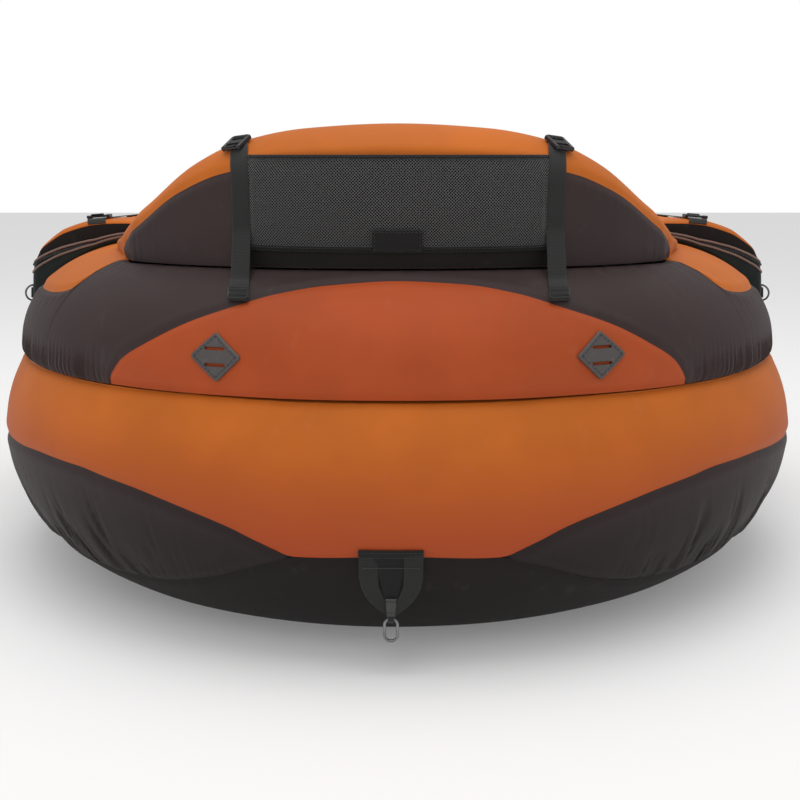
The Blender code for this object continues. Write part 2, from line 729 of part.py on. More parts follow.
def box(name, low, high, frame, finish, hidden=False):
    bm = bmesh.new()
    corners = {}
    for i in (0, 1):
        for j in (0, 1):
            for k in (0, 1):
                ends = ((low, high)[i][0], (low, high)[j][1], (low, high)[k][2])
                corners[i, j, k] = bm.verts.new(frame @ Vector(ends))
    sides = (
        ((0, 0, 0), (0, 0, 1), (0, 1, 1), (0, 1, 0)), ((1, 0, 0), (1, 1, 0), (1, 1, 1), (1, 0, 1)),
        ((0, 0, 0), (1, 0, 0), (1, 0, 1), (0, 0, 1)), ((0, 1, 0), (0, 1, 1), (1, 1, 1), (1, 1, 0)),
        ((0, 0, 0), (0, 1, 0), (1, 1, 0), (1, 0, 0)), ((0, 0, 1), (1, 0, 1), (1, 1, 1), (0, 1, 1)),
    )
    for side in sides:
        bm.faces.new([corners[corner] for corner in side])
    return add_object(name, finish_mesh(name, bm), finish, hidden=hidden)


def turned(name, profile, frame, finish, count=16, closed=False, hidden=False):
    """A shape turned about the frame's Z axis from (reach, level) points; a closed profile makes a ring."""
    bm = bmesh.new()
    rows = []
    for reach, level in profile:
        row = []
        for i in range(count):
            angle = 2 * math.pi * i / count
            place = Vector((reach * math.cos(angle), reach * math.sin(angle), level))
            row.append(bm.verts.new(frame @ place))
        rows.append(row + [row[0]])
    if closed:
        rows.append(rows[0])
    grid_faces(bm, rows)
    if not closed:
        bm.faces.new(rows[0][:-1])
        bm.faces.new(list(reversed(rows[-1][:-1])))
    return add_object(name, finish_mesh(name, bm), finish, hidden=hidden)


def wire_ring(name, loop, normal, radius, finish, sides=6, origin=None):
    """Round wire along a closed flat loop of points."""
    bm = bmesh.new()
    rows = []
    for i, place in enumerate(loop):
        ahead = (loop[(i + 1) % len(loop)] - loop[i - 1]).normalized()
        side = ahead.cross(normal).normalized()
        row = []
        for k in range(sides):
            angle = 2 * math.pi * k / sides
            step = side * math.cos(angle) + normal * math.sin(angle)
            row.append(bm.verts.new(place + step * radius))
        rows.append(row + [row[0]])
    grid_faces(bm, rows + [rows[0]])
    return add_object(name, finish_mesh(name, bm), finish, origin)


def skin_plate(name, point, turns, angles, thick, finish, lift=SLIP):
    """A thin plate that follows the skin over the given turns and section angles."""
    line = [Station(-1 if turn < 0 else 1, abs(turn), 0) for turn in turns]
    ring = angles if callable(angles) else (lambda station: angles)
    columns = (0, len(ring(line[0])) - 1)
    return cloth_panel(name, point, ring, line, columns, finish, thick, -(lift + thick))


# Rigging on the back of the backrest
def back_offset(station, level):
    """How far the backrest's rear face stands out from the path at a height."""
    half, top, cap = back_shape(station)
    arch = min(max((level - (top - cap)) / cap, 0), 1)
    return half * math.sqrt(1 - arch ** 2)


def make_strap(label, x):
    """A strap over the top of the backrest and down its rear face onto the armrest tube."""
    reach = STERN_RADIUS + BACK_HALF
    middle = station_at(x, reach)
    half = math.degrees(WEBBING / 2 / reach)
    turns = [middle.side * (middle.turn + half * share) for share in (-1, 0, 1)]
    places = [(back_point, angle) for angle in (LOCK_HIGH_ANGLE, LOCK_LOW_ANGLE) + STRAP_BACK_ANGLES]
    places += [(arm_point, angle) for angle in STRAP_ARM_ANGLES]

    def strap_point(station, place, inset=0):
        surface, angle = place
        guess = surface(station, angle, inset) - on_path(station, 0) + outward(station) * STERN_RADIUS
        x = math.sin(math.radians(station.turn)) * reach
        upright = station_at(x * station.side, Vector((guess.x, guess.y)).length)
        return surface(upright, angle, inset)

    skin_plate(f"back_strap_{label}", strap_point, turns, places, WEBBING_THICK, "webbing")
    near, far = (Station(middle.side, abs(turn), 0) for turn in (turns[0], turns[-1]))
    lock_places = places[:2][::-1]
    frame = facet_frame(strap_point, lambda station: lock_places, near, far, 0)
    frame = frame @ Matrix.Translation((0, 0, SLIP + WEBBING_THICK + SLIP))
    make_ladder_lock(f"ladder_lock_{label}", frame)


def make_ladder_lock(name, frame):
    """A plastic frame with two slots, which holds the strap's upper end on the top of the backrest."""
    wide, tall = LOCK_WIDTH / 2, LOCK_LENGTH / 2
    lock = box(name, (-wide, -tall, 0), (wide, tall, LOCK_THICK), frame, "plastic")
    for sign in (-1, 1):
        middle = sign * (tall - LOCK_RIM)
        low = (-WEBBING / 2, middle - LOCK_SLOT / 2, -OVERRUN)
        high = (WEBBING / 2, middle + LOCK_SLOT / 2, LOCK_THICK + OVERRUN)
        cut(lock, box(f"{name}_slot_{sign}", low, high, frame, "plastic", hidden=True))


def make_mesh_pocket():
    edge = WEBBING / 2 + SLIP
    reach = STERN_RADIUS + BACK_HALF + MESH_STANDOFF + MESH_THICK
    left = math.degrees(math.asin(STRAP_LEFT / reach)) + math.degrees(edge / reach)
    right = math.degrees(math.asin(STRAP_RIGHT / reach)) - math.degrees(edge / reach)
    turns = [left] + [turn for turn in MESH_TURNS if left < turn < right] + [right]
    levels = [MESH_BOTTOM + MESH_HEIGHT * i / 4 for i in range(5)]

    def mesh_point(station, level, inset=0):
        return on_path(station, level) + outward(station) * (back_offset(station, level) - inset)

    skin_plate("mesh_pocket", mesh_point, turns, levels, MESH_THICK, "mesh", MESH_STANDOFF)
    half_turn = math.degrees(TAB_WIDTH / 2 / reach)
    turns = [-half_turn, 0, half_turn]
    levels = [MESH_BOTTOM, MESH_BOTTOM + TAB_HEIGHT]
    over = MESH_STANDOFF + MESH_THICK + SLIP
    skin_plate("mesh_pull_tab", mesh_point, turns, levels, WEBBING_THICK, "webbing", over)


def make_lash_tab(label, x):
    """A diamond plate with two level slots."""
    guess = station_at(x, STERN_RADIUS + BACK_HALF * 2)
    half, rise, waist, base = arm_shape(guess)
    angle = math.degrees(math.asin((CREASE_HEIGHT + LASH_RISE - waist) / rise))
    reach = STERN_RADIUS + half * math.cos(math.radians(angle))
    station = station_at(x, reach)
    turn = station.turn
    wide = math.degrees(LASH_HALF_WIDTH / reach)
    tall = math.degrees(LASH_HALF_HEIGHT / rise)
    turns = [station.side * (turn + wide * share) for share in LASH_SHARES]

    def diamond(place):
        share = 1 - abs(place.turn - turn) / wide
        return [angle + tall * share * step for step in (-1, -0.5, 0, 0.5, 1)]

    tab = skin_plate(f"lash_tab_{label}", arm_point, turns, diamond, LASH_THICK, "lash")
    frame = skin_frame(arm_point, station, angle)
    for sign in (-1, 1):
        middle = sign * LASH_SLOT_SPACING / 2
        low = (-LASH_SLOT_LENGTH / 2, middle - LASH_SLOT / 2, -OVERRUN)
        high = (LASH_SLOT_LENGTH / 2, middle + LASH_SLOT / 2, OVERRUN)
        cut(tab, box(f"lash_slot_{label}_{sign}", low, high, frame, "lash", hidden=True))


# Tow point
def make_tow_point():
    angle = math.degrees(math.asin((TOW_HEIGHT - HULL_RADIUS + FLOOR_DENT) / HULL_RADIUS))
    reach = STERN_RADIUS + HULL_RADIUS * math.cos(math.radians(angle))
    tall = math.degrees(TOW_BAR_HEIGHT / 2 / HULL_RADIUS)
    turns = [math.degrees((TOW_X + TOW_WIDTH * share) / reach) for share in (-0.5, 0, 0.5)]
    skin_plate("tow_patch", hull_point, turns, [angle - tall, angle + tall], TOW_BAR_THICK, "webbing")
    bar_bottom = hull_point(Station(1, 0, 0), angle - tall, -SLIP - TOW_BAR_THICK).z - GAP
    y = ARC_Y - reach - SLIP - TOW_THICK / 2
    bore = RING_WIRE / 2 + RING_PLAY
    loop = bore + TOW_LOOP_WALL
    pivot = Vector((TOW_X, y, TOW_HEIGHT - TOW_DROP))
    bm = bmesh.new()
    neck = pivot.z + bore + TOW_LOOP_WALL / 2
    outline = (
        (-TOW_WIDTH / 2, bar_bottom), (-TOW_NECK / 2, neck + TOW_NECK), (-TOW_LOOP / 2, neck),
        (TOW_LOOP / 2, neck), (TOW_NECK / 2, neck + TOW_NECK), (TOW_WIDTH / 2, bar_bottom),
    )
    sides = []
    for depth in (-TOW_THICK / 2, TOW_THICK / 2):
        sides.append([bm.verts.new((TOW_X + x, y + depth, z)) for x, z in outline])
    bm.faces.new(sides[0])
    bm.faces.new(list(reversed(sides[1])))
    grid_faces(bm, [side + [side[0]] for side in sides])
    webbing = add_object("tow_webbing", finish_mesh("tow_webbing", bm), "webbing")
    along_x = Matrix.Translation(pivot) @ Matrix.Rotation(math.pi / 2, 4, "Y")
    half = TOW_LOOP / 2
    eye = turned("tow_eye", ((loop, -half), (loop, half)), along_x, "webbing", 12, hidden=True)
    join = webbing.modifiers.new("eye", "BOOLEAN")
    join.operation = "UNION"
    join.solver = "EXACT"
    join.object = eye
    bored = ((bore, -half - OVERRUN), (bore, half + OVERRUN))
    cut(webbing, turned("tow_bore", bored, along_x, "webbing", 12, hidden=True))
    bend = (RING_WIDTH - RING_WIRE) / 2
    straight = RING_LENGTH - RING_WIDTH
    centre = pivot - Vector((0, 0, bend))
    points = []
    for i in range(12):
        turn = 2 * math.pi * (i + 0.5) / 12
        lower = straight if math.sin(turn) < 0 else 0
        points.append(centre + Vector((bend * math.cos(turn), 0, bend * math.sin(turn) - lower)))
    wire_ring("tow_ring", points, Vector((0, 1, 0)), RING_WIRE / 2, "steel", 8, pivot)


# Gear pockets
def pocket_depth(angle):
    return POCKET_DEPTH * between(POCKET_DEPTH_SHARES, angle)


def zip_height(angle):
    """Height of the zip over the armrest: level with the pocket's face outside, and low inside."""
    full = pocket_depth(angle)
    return full + (POCKET_SEAT - full) * between(ZIP_FALL_SHARES, angle)


def curved_block(name, side, angles, low, high, start, end, finish, hidden=False):
    """A block on the armrest between two heights over it, which are functions of the section angle."""
    bm = bmesh.new()
    rows = []
    for y in (start, end):
        station = Station(side, 90, y - ARC_Y)
        under = [arm_point(station, angle, -low(angle)) for angle in angles]
        over = [arm_point(station, angle, -high(angle)) for angle in reversed(angles)]
        rows.append([bm.verts.new(place) for place in under + over])
    grid_faces(bm, [row + [row[0]] for row in rows])
    count = len(angles)
    for row, flip in ((rows[0], False), (rows[1], True)):
        for i in range(count - 1):
            ring = [row[i], row[i + 1], row[2 * count - 2 - i], row[2 * count - 1 - i]]
            for corner in ((ring[0], ring[1], ring[2]), (ring[0], ring[2], ring[3])):
                if len(set(corner)) == 3:
                    bm.faces.new(reversed(corner) if flip else corner)
    return add_object(name, finish_mesh(name, bm), finish, hidden=hidden)


def make_gear_pocket(side, label):
    start, end = POCKET_REAR, POCKET_REAR + POCKET_LENGTH
    first, last = POCKET_ANGLES[0], POCKET_ANGLES[-1]
    inset = math.degrees(POCKET_WALL / HULL_RADIUS)
    inner_angles = [first + inset] + list(POCKET_ANGLES[1:-1]) + [last - inset]
    zip_angles = [angle for angle in POCKET_ANGLES if angle >= ZIP_FALL_SHARES[0][0]]
    upper_angles = zip_angles[:-1] + [last + inset]

    def base(angle):
        return SLIP

    def lining_base(angle):
        return SLIP + POCKET_WALL

    def lining_top(angle):
        return pocket_depth(angle) - POCKET_WALL

    def over_zip(angle):
        return zip_height(angle) - ZIP_GAP

    def far_over(angle):
        return pocket_depth(angle) + OVERRUN

    def block(name, angles, low, high, grown, finish, hidden=False):
        ends = (start - grown, end + grown)
        return curved_block(f"{name}_{label}", side, angles, low, high, *ends, finish, hidden)

    body = block("pocket_body", POCKET_ANGLES, base, pocket_depth, 0, "pocket")
    hollow = block("pocket_hollow", inner_angles, lining_base, lining_top, -POCKET_WALL, "pocket", True)
    above = block("pocket_above", upper_angles, over_zip, far_over, OVERRUN, "pocket", True)
    cut(body, hollow)
    cut(body, above)
    lid_angles = [zip_angles[0] + inset] + zip_angles[1:]
    lid = block("pocket_lid", lid_angles, zip_height, pocket_depth, 0, "orange")
    cut(lid, hollow)
    middle = Station(side, 90, (start + end) / 2 - ARC_Y)
    hinge = arm_point(middle, last, -zip_height(last))
    lid.data.transform(Matrix.Translation(-hinge))
    lid.location = hinge
    make_slider(f"zip_slider_{label}", side)
    make_lid_strap(f"lid_strap_{label}", side)
    make_dring(side, label)


def make_slider(name, side):
    """The slider of a pocket's zip, on the body's outer face just below the lid."""
    y = POCKET_REAR + POCKET_LENGTH - SLIDER_INSET - SLIDER_LENGTH
    low, high = POCKET_ANGLES[1], ZIP_FALL_SHARES[0][0]
    angles = [low + (high - low) * share for share in SLIDER_SHARES]

    def over(angle):
        return pocket_depth(angle) + SLIP

    def top(angle):
        return over(angle) + SLIDER_THICK

    curved_block(name, side, angles, over, top, y, y + SLIDER_LENGTH, "steel")


def make_lid_strap(name, side):
    """A strap along the top of a pocket's lid."""
    middle = POCKET_ANGLES[5]
    half = math.degrees(LID_STRAP_WIDTH / 2 / HULL_RADIUS)
    angles = [middle - half, middle, middle + half]

    def over(angle):
        return pocket_depth(angle) + SLIP

    def top(angle):
        return over(angle) + WEBBING_THICK

    curved_block(name, side, angles, over, top, POCKET_REAR, POCKET_REAR + POCKET_LENGTH, "webbing")


def make_dring(side, label):
    """A D-ring in a webbing tab on a pocket's outer face; its straight bar stands up the face."""
    station = Station(side, 90, DRING_START)

    def face(place, at, inset=0):
        return arm_point(place, at, inset - pocket_depth(at))

    bore = DRING_WIRE / 2 + DRING_PLAY
    outer = bore + DRING_TAB_WALL
    ends = (moved(station, -DRING_TAB / 2), moved(station, DRING_TAB / 2))
    frame = facet_frame(face, lambda place: POCKET_ANGLES, ends[0], ends[1], 0)
    frame = frame @ Matrix.Translation((0, 0, outer + GAP))
    bar = frame.translation
    up = frame.to_3x3().col[1]
    out = frame.to_3x3().col[2]
    rear = Vector((0, -1, 0))
    reach = (out + rear).normalized()
    turn = Matrix.Rotation(-math.pi / 2, 4, "X")
    tab_frame = frame @ turn
    sleeve = ((outer, -DRING_TAB / 2), (outer, DRING_TAB / 2))
    tab = turned(f"d_ring_tab_{label}", sleeve, tab_frame, "webbing", 8)
    bored = ((bore, -DRING_TAB), (bore, DRING_TAB))
    cut(tab, turned(f"d_ring_bore_{label}", bored, tab_frame, "webbing", 8, hidden=True))
    half = (DRING_WIDTH - DRING_WIRE) / 2
    points = [bar - up * half, bar + up * half]
    for i in range(1, 6):
        bend = math.pi * i / 6
        points.append(bar + up * half * math.cos(bend) + reach * (DRING_DEPTH - DRING_WIRE) * math.sin(bend))
    wire_ring(f"d_ring_{label}", points, up.cross(reach).normalized(), DRING_WIRE / 2, "steel", 6, bar)


# Seat
def cockpit_half_width(y):
    """Half the clear width between the hull's inner faces at their innermost height."""
    reach = STERN_RADIUS - HULL_RADIUS
    turns = [math.radians(turn) for turn in HULL_TURNS]
    corners = [(reach * math.sin(turn), ARC_Y - reach * math.cos(turn)) for turn in turns]
    for (x0, y0), (x1, y1) in zip(corners, corners[1:]):
        if y0 <= y < y1:
            return x0 + (x1 - x0) * (y - y0) / (y1 - y0)
    return reach


def make_seat():
    rows, columns = 10, 10
    shares = [i / rows for i in range(rows + 1)]

    def sling_place(share, across, margin, level):
        y = ARC_Y - SEAT_BEHIND + margin + (SEAT_LENGTH - 2 * margin) * share
        half = cockpit_half_width(y) - GAP - margin
        sag = SLING_SAG * (1 - across ** 2)
        return Vector((half * across, y, HULL_RADIUS - sag + level))

    def slab(name, margin, under, over, finish):
        bm = bmesh.new()
        low, high = [], []
        for share in shares:
            steps = [2 * j / columns - 1 for j in range(columns + 1)]
            for row, level in ((low, under), (high, over)):
                places = [sling_place(share, step, margin, level(share, step)) for step in steps]
                row.append([bm.verts.new(place) for place in places])
        grid_faces(bm, high)
        grid_faces(bm, low, flip=True)
        grid_faces(bm, [[row[0] for row in low], [row[0] for row in high]])
        grid_faces(bm, [[row[-1] for row in low], [row[-1] for row in high]], flip=True)
        grid_faces(bm, [low[0], high[0]], flip=True)
        grid_faces(bm, [low[-1], high[-1]])
        add_object(name, finish_mesh(name, bm), finish)

    def crown(share, step):
        edge = (1 - (2 * share - 1) ** 4) * (1 - step ** 4)
        return SLIP + SLING_THICK + SEAT_PAD_EDGE + (SEAT_PAD_THICK - SEAT_PAD_EDGE) * edge

    slab("seat_sling", 0, lambda share, step: 0, lambda share, step: SLING_THICK, "black")
    slab("seat_cushion", SEAT_PAD_MARGIN, lambda share, step: SLIP + SLING_THICK, crown, "padding")


# Spreader bar
def make_spreader_bar():
    wall = STERN_RADIUS - HULL_RADIUS - SLIP
    upright = Matrix.Translation((-wall, BAR_Y, HULL_RADIUS))
    ear_inner = BAR_RADIUS + BAR_PLAY
    half = BRACKET_HALF
    tip = BRACKET_THICK + BRACKET_REACH + BAR_RADIUS
    bracket = box("pivot_bracket", (0, -half, -half), (tip, half, half), upright, "plastic")
    low = (BRACKET_THICK, -ear_inner, -half - OVERRUN)
    high = (tip + OVERRUN, ear_inner, half + OVERRUN)
    cut(bracket, box("bracket_slot", low, high, upright, "plastic", hidden=True))
    for sign in (-1, 1):
        edge = ear_inner + BRACKET_EAR
        low = (BRACKET_THICK, min(sign * edge, sign * (half + OVERRUN)), -half - OVERRUN)
        high = (tip + OVERRUN, max(sign * edge, sign * (half + OVERRUN)), half + OVERRUN)
        cut(bracket, box(f"bracket_side_{sign}", low, high, upright, "plastic", hidden=True))
        low = (BRACKET_THICK, -half - OVERRUN, min(sign * BAR_RADIUS, sign * (half + OVERRUN)))
        high = (tip + OVERRUN, half + OVERRUN, max(sign * BAR_RADIUS, sign * (half + OVERRUN)))
        cut(bracket, box(f"bracket_edge_{sign}", low, high, upright, "plastic", hidden=True))
    pivot = Vector((-wall + BRACKET_THICK + BRACKET_REACH, BAR_Y, HULL_RADIUS))
    along_y = Matrix.Translation(pivot) @ Matrix.Rotation(math.pi / 2, 4, "X")
    reach = ear_inner + BRACKET_EAR
    hole = PIN_RADIUS + GAP
    bored = ((hole, -reach - OVERRUN), (hole, reach + OVERRUN))
    drill = turned("pin_hole", bored, along_y, "steel", 12, hidden=True)
    cut(bracket, drill)
    turned("pivot_pin", ((PIN_RADIUS, -reach), (PIN_RADIUS, reach)), along_y, "steel", 12)
    start = pivot.x - BAR_END
    end = wall - BRACKET_THICK - BAR_SLACK
    along_x = Matrix.Translation((0, BAR_Y, HULL_RADIUS)) @ Matrix.Rotation(math.pi / 2, 4, "Y")
    inside = BAR_RADIUS - BAR_WALL
    profile = ((inside, start), (BAR_RADIUS, start), (BAR_RADIUS, end), (inside, end))
    bar = turned("spreader_bar", profile, along_x, "aluminium", 14, closed=True)
    bar.data.transform(Matrix.Translation(-pivot))
    bar.location = pivot
    cut(bar, drill)
    make_cradle(wall)


def make_cradle(wall):
    """An open cradle for the bar's free end: the bar lifts out of its top."""
    frame = Matrix.Translation((wall, BAR_Y, HULL_RADIUS)) @ Matrix.Rotation(math.pi, 4, "Z")
    half = BRACKET_HALF
    seat = BAR_RADIUS + BAR_PLAY
    arm = seat + CRADLE_WALL
    tip = BRACKET_THICK + CRADLE_LENGTH
    cradle = box("bar_cradle", (0, -half, -half), (tip, half, half), frame, "plastic")
    for sign in (-1, 1):
        low = (BRACKET_THICK, min(sign * arm, sign * (half + OVERRUN)), -half - OVERRUN)
        high = (tip + OVERRUN, max(sign * arm, sign * (half + OVERRUN)), half + OVERRUN)
        cut(cradle, box(f"cradle_side_{sign}", low, high, frame, "plastic", hidden=True))
    low = (BRACKET_THICK, -arm - OVERRUN, -half - OVERRUN)
    high = (tip + OVERRUN, arm + OVERRUN, -arm)
    cut(cradle, box("cradle_under", low, high, frame, "plastic", hidden=True))
    low = (BRACKET_THICK, -arm - OVERRUN, BAR_RADIUS)
    high = (tip + OVERRUN, arm + OVERRUN, half + OVERRUN)
    cut(cradle, box("cradle_over", low, high, frame, "plastic", hidden=True))
    low = (BRACKET_THICK, -seat, 0)
    high = (tip + OVERRUN, seat, half + OVERRUN)
    cut(cradle, box("cradle_mouth", low, high, frame, "plastic", hidden=True))
    along = frame @ Matrix.Rotation(math.pi / 2, 4, "Y")
    bored = ((seat, BRACKET_THICK), (seat, tip + OVERRUN))
    cut(cradle, turned("cradle_bore", bored, along, "plastic", 14, hidden=True))


# Valves
def make_valve(name, frame, through):
    """A flanged valve body whose neck goes through the cloth and the chamber, and its hinged cap."""
    top = VALVE_FLANGE_THICK + SLIP
    profile = (
        (VALVE_BORE, -VALVE_NECK_LENGTH), (VALVE_NECK, -VALVE_NECK_LENGTH), (VALVE_NECK, SLIP),
        (VALVE_FLANGE, SLIP), (VALVE_FLANGE, top), (VALVE_BORE, top),
    )
    turned(f"{name}_body", profile, frame, "plastic", 16, closed=True)
    hole = VALVE_NECK + VALVE_PLAY
    bored = ((hole, -VALVE_NECK_LENGTH - OVERRUN), (hole, OVERRUN))
    drill = turned(f"{name}_hole", bored, frame, "plastic", 16, hidden=True)
    for thing in through:
        cut(bpy.data.objects[thing], drill)
    level = top + GAP
    hinge = frame @ Vector((VALVE_FLANGE, 0, level))
    lid = ((VALVE_CAP, level), (VALVE_CAP, level + VALVE_CAP_THICK))
    cap = turned(f"{name}_cap", lid, frame, "plastic", 16)
    lug_low = (VALVE_CAP / 2, -VALVE_LUG / 2, level)
    lug_high = (VALVE_FLANGE, VALVE_LUG / 2, level + VALVE_FLANGE_THICK)
    join = cap.modifiers.new("lug", "BOOLEAN")
    join.operation = "UNION"
    join.solver = "EXACT"
    join.object = box(f"{name}_lug", lug_low, lug_high, frame, "plastic", hidden=True)
    cap.data.transform(Matrix.Translation(-hinge))
    cap.location = hinge


def facet_frame(point, ring, near, far, column):
    """A frame on the flat piece of skin between two stations and two section angles; Z points out of it."""
    corners = [point(station, ring(station)[column + step]) for station in (near, far) for step in (0, 1)]
    middle = sum(corners, Vector()) / len(corners)
    along = (corners[2] + corners[3] - corners[0] - corners[1]).normalized()
    up = (corners[1] + corners[3] - corners[0] - corners[2]).normalized()
    normal = along.cross(up).normalized()
    deeper = point(near, ring(near)[column], PROBE)
    if normal.dot(corners[0] - deeper) < 0:
        normal = -normal
    up = normal.cross(along)
    level = max((corner - middle).dot(normal) for corner in corners)
    place = middle + normal * level
    return Matrix.Translation(place) @ Matrix((along, up, normal)).transposed().to_4x4()


def make_valves():
    aheads = hull_aheads()
    for side, label in ((-1, "left"), (1, "right")):
        near, far = (Station(side, 90, aheads[HULL_VALVE_PLACE + step]) for step in (0, 1))
        frame = facet_frame(hull_point, hull_ring, near, far, DECK[0] + HULL_VALVE_COLUMN)
        make_valve(f"hull_valve_{label}", frame, ("hull_deck_panel", f"hull_chamber_{label}"))
    near, far = Station(1, 90, 0), Station(1, 90, arm_aheads()[0])
    frame = facet_frame(arm_point, arm_ring, near, far, COCKPIT[0] + 1)
    make_valve("armrest_valve", frame, ("armrest_inner_panel", "armrest_chamber"))
    near, far = (Station(1, BACK_TURNS[BACK_VALVE_PLACE + step], 0) for step in (0, 1))
    frame = facet_frame(back_point, back_ring, near, far, BACK_FRONT[0] + 1)
    make_valve("backrest_valve", frame, ("backrest_front_panel", "backrest_chamber"))


def main():
    clear_scene()
    make_hull()
    make_armrests()
    make_backrest()
    make_strap("left", STRAP_LEFT)
    make_strap("right", STRAP_RIGHT)
    make_mesh_pocket()
    make_lash_tab("left", LASH_LEFT)
    make_lash_tab("right", LASH_RIGHT)
    make_tow_point()
    for side, label in ((-1, "left"), (1, "right")):
        make_gear_pocket(side, label)
    make_seat()
    make_spreader_bar()
    make_valves()


main()
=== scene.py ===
# A float tube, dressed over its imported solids.
# Metres, +Z up: the stern with the backrest faces -Y and the open bow faces +Y.
import json
import math

import bmesh
import bpy
import numpy as np
from mathutils import Matrix, Vector

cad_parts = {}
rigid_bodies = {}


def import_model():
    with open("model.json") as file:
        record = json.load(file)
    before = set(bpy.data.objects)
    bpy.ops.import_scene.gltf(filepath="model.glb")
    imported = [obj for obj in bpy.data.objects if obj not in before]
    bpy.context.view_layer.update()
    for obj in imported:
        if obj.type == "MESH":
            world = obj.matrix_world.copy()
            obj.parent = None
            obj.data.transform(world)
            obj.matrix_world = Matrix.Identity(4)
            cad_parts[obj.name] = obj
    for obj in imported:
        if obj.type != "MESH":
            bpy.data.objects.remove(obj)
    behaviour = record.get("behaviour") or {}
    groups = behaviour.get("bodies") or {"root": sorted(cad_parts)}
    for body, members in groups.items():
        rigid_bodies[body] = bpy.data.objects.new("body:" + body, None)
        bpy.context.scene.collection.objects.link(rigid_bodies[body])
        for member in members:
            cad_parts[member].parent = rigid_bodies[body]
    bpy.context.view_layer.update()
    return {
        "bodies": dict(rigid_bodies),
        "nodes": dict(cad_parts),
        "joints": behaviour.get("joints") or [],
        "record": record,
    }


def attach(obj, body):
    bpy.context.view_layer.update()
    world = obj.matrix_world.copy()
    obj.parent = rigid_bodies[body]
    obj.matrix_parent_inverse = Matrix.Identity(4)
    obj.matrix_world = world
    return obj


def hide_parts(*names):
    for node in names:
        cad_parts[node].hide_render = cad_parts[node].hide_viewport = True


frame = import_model()
collection = bpy.context.scene.collection

# The shape of the three tubes, as in the part's source
tube = {
    "sternRadius": 0.392, "arcY": -0.140, "legLength": 0.865, "hullRadius": 0.193, "floorDent": 0.003,
    "tipLength": 0.345, "tipRise": 0.050, "tipRadius": 0.060, "tipCurve": 2.1, "noseDepth": 0.036,
    "creaseHeight": 0.300, "creaseLift": 0.011, "deckBlend": 0.110, "gap": 0.0003,
    "armHeight": 0.145, "armWaist": 0.018, "armBulge": 0.004, "armLength": 0.410, "armNose": 0.115,
    "armLast": 0.95, "armEndDepth": 0.012,
    "backRise": 0.1585, "backHalf": 0.055, "backEndHalf": 0.022, "backEndHeight": 0.010, "seamDrop": 0.038,
    "backEndTurn": 88, "capShare": 0.7, "seamShare": 0.8, "taperShare": 0.4,
}
# Seams: degrees round a section against degrees round the stern
seams = {
    "orange": ((0, -14.8), (11.5, -16.4), (15.5, -11.9), (19.2, -7), (23.2, -3.4), (28, 0), (31.5, 2),
               (36.8, 3.9), (42, 5.3), (50, 5.2), (58.8, 3.5), (72, 0.2), (90, -3)),
    "black": ((0, -14.9), (11.5, -16.5), (15.8, -20.9), (19.2, -25.2), (24.5, -31.7), (30.5, -37.2),
              (37.2, -40.7), (43, -42.2), (90, -42)),
    "crescent": ((0, 58.9), (9, 55.9), (16, 49), (22, 39), (28, 28.5), (33, 17), (37, 6.4), (39.5, -7)),
    "shoulder": ((54.6, 56), (55.3, 48.5), (56.6, 42.6), (59.2, 39.4), (64, 37.2), (74, 35.8), (90, 34)),
    "outline": ((0, 1), (16, 0.97), (28, 0.885), (37, 0.74), (47, 0.49), (56, 0.285), (66, 0.11), (78, 0.03),
                (88, 0)),
    "bottom": -150, "inner": 118, "frontCrease": 38, "tearStart": 54.2, "tearFull": 55.4,
    "sideStart": 11.6, "crescentEnd": 39.2, "fallStart": 49.5, "fallSpan": 7.5, "fallFoot": -1.96,
}


def runOf(turn):  # metres along the centreline for degrees round the stern
    return tube["sternRadius"] * math.radians(turn)


quarter = tube["sternRadius"] * math.pi / 2
hullEnd = quarter + tube["legLength"] - tube["noseDepth"]
armEnd = quarter + tube["armLength"] - tube["armNose"] * (1 - tube["armLast"])
backEnd = runOf(tube["backEndTurn"])
leftRight = ((-1, "left"), (1, "right"))


# ---- numbers along curves
def glide(table, at):  # a smooth curve through a table's points that never overshoots them
    x, y = (np.array(column, float) for column in zip(*table))
    step = np.diff(x)
    slope = np.diff(y) / step
    tangent = np.zeros_like(y)
    same = slope[:-1] * slope[1:] > 0
    tangent[1:-1][same] = 2 * (slope[:-1] * slope[1:])[same] / (slope[:-1] + slope[1:])[same]
    tangent[-1] = slope[-1]
    at = np.clip(np.asarray(at, float), x[0], x[-1])
    i = np.clip(np.searchsorted(x, at) - 1, 0, len(step) - 1)
    t = (at - x[i]) / step[i]
    start = (1 + 2 * t) * (1 - t) ** 2 * y[i] + t * (1 - t) ** 2 * step[i] * tangent[i]
    return start + t * t * (3 - 2 * t) * y[i + 1] + t * t * (t - 1) * step[i] * tangent[i + 1]


def ease(share):
    share = np.clip(share, 0, 1)
    return share * share * (3 - 2 * share)


def paired(first, second):  # two arrays brought to one shape
    return np.broadcast_arrays(np.asarray(first, float), np.asarray(second, float))


def wander(x, y, seed):  # smooth unevenness between -1 and 1, the same on every run
    grid = np.random.default_rng(seed).uniform(-1, 1, (64, 64))
    x, y = paired(x, y)
    i, j = np.floor(x).astype(int), np.floor(y).astype(int)
    u, v = ease(x - i), ease(y - j)
    rows = [grid[(i + di) % 64, (j + dj) % 64] for di in (0, 1) for dj in (0, 1)]
    return (rows[0] * (1 - v) + rows[1] * v) * (1 - u) + (rows[2] * (1 - v) + rows[3] * v) * u


def spread(start, end, step):
    return np.linspace(start, end, max(int(round(abs(end - start) / step)), 2) + 1)


def unit(vectors):
    return vectors / np.maximum(np.linalg.norm(vectors, axis=-1, keepdims=True), 1e-9)
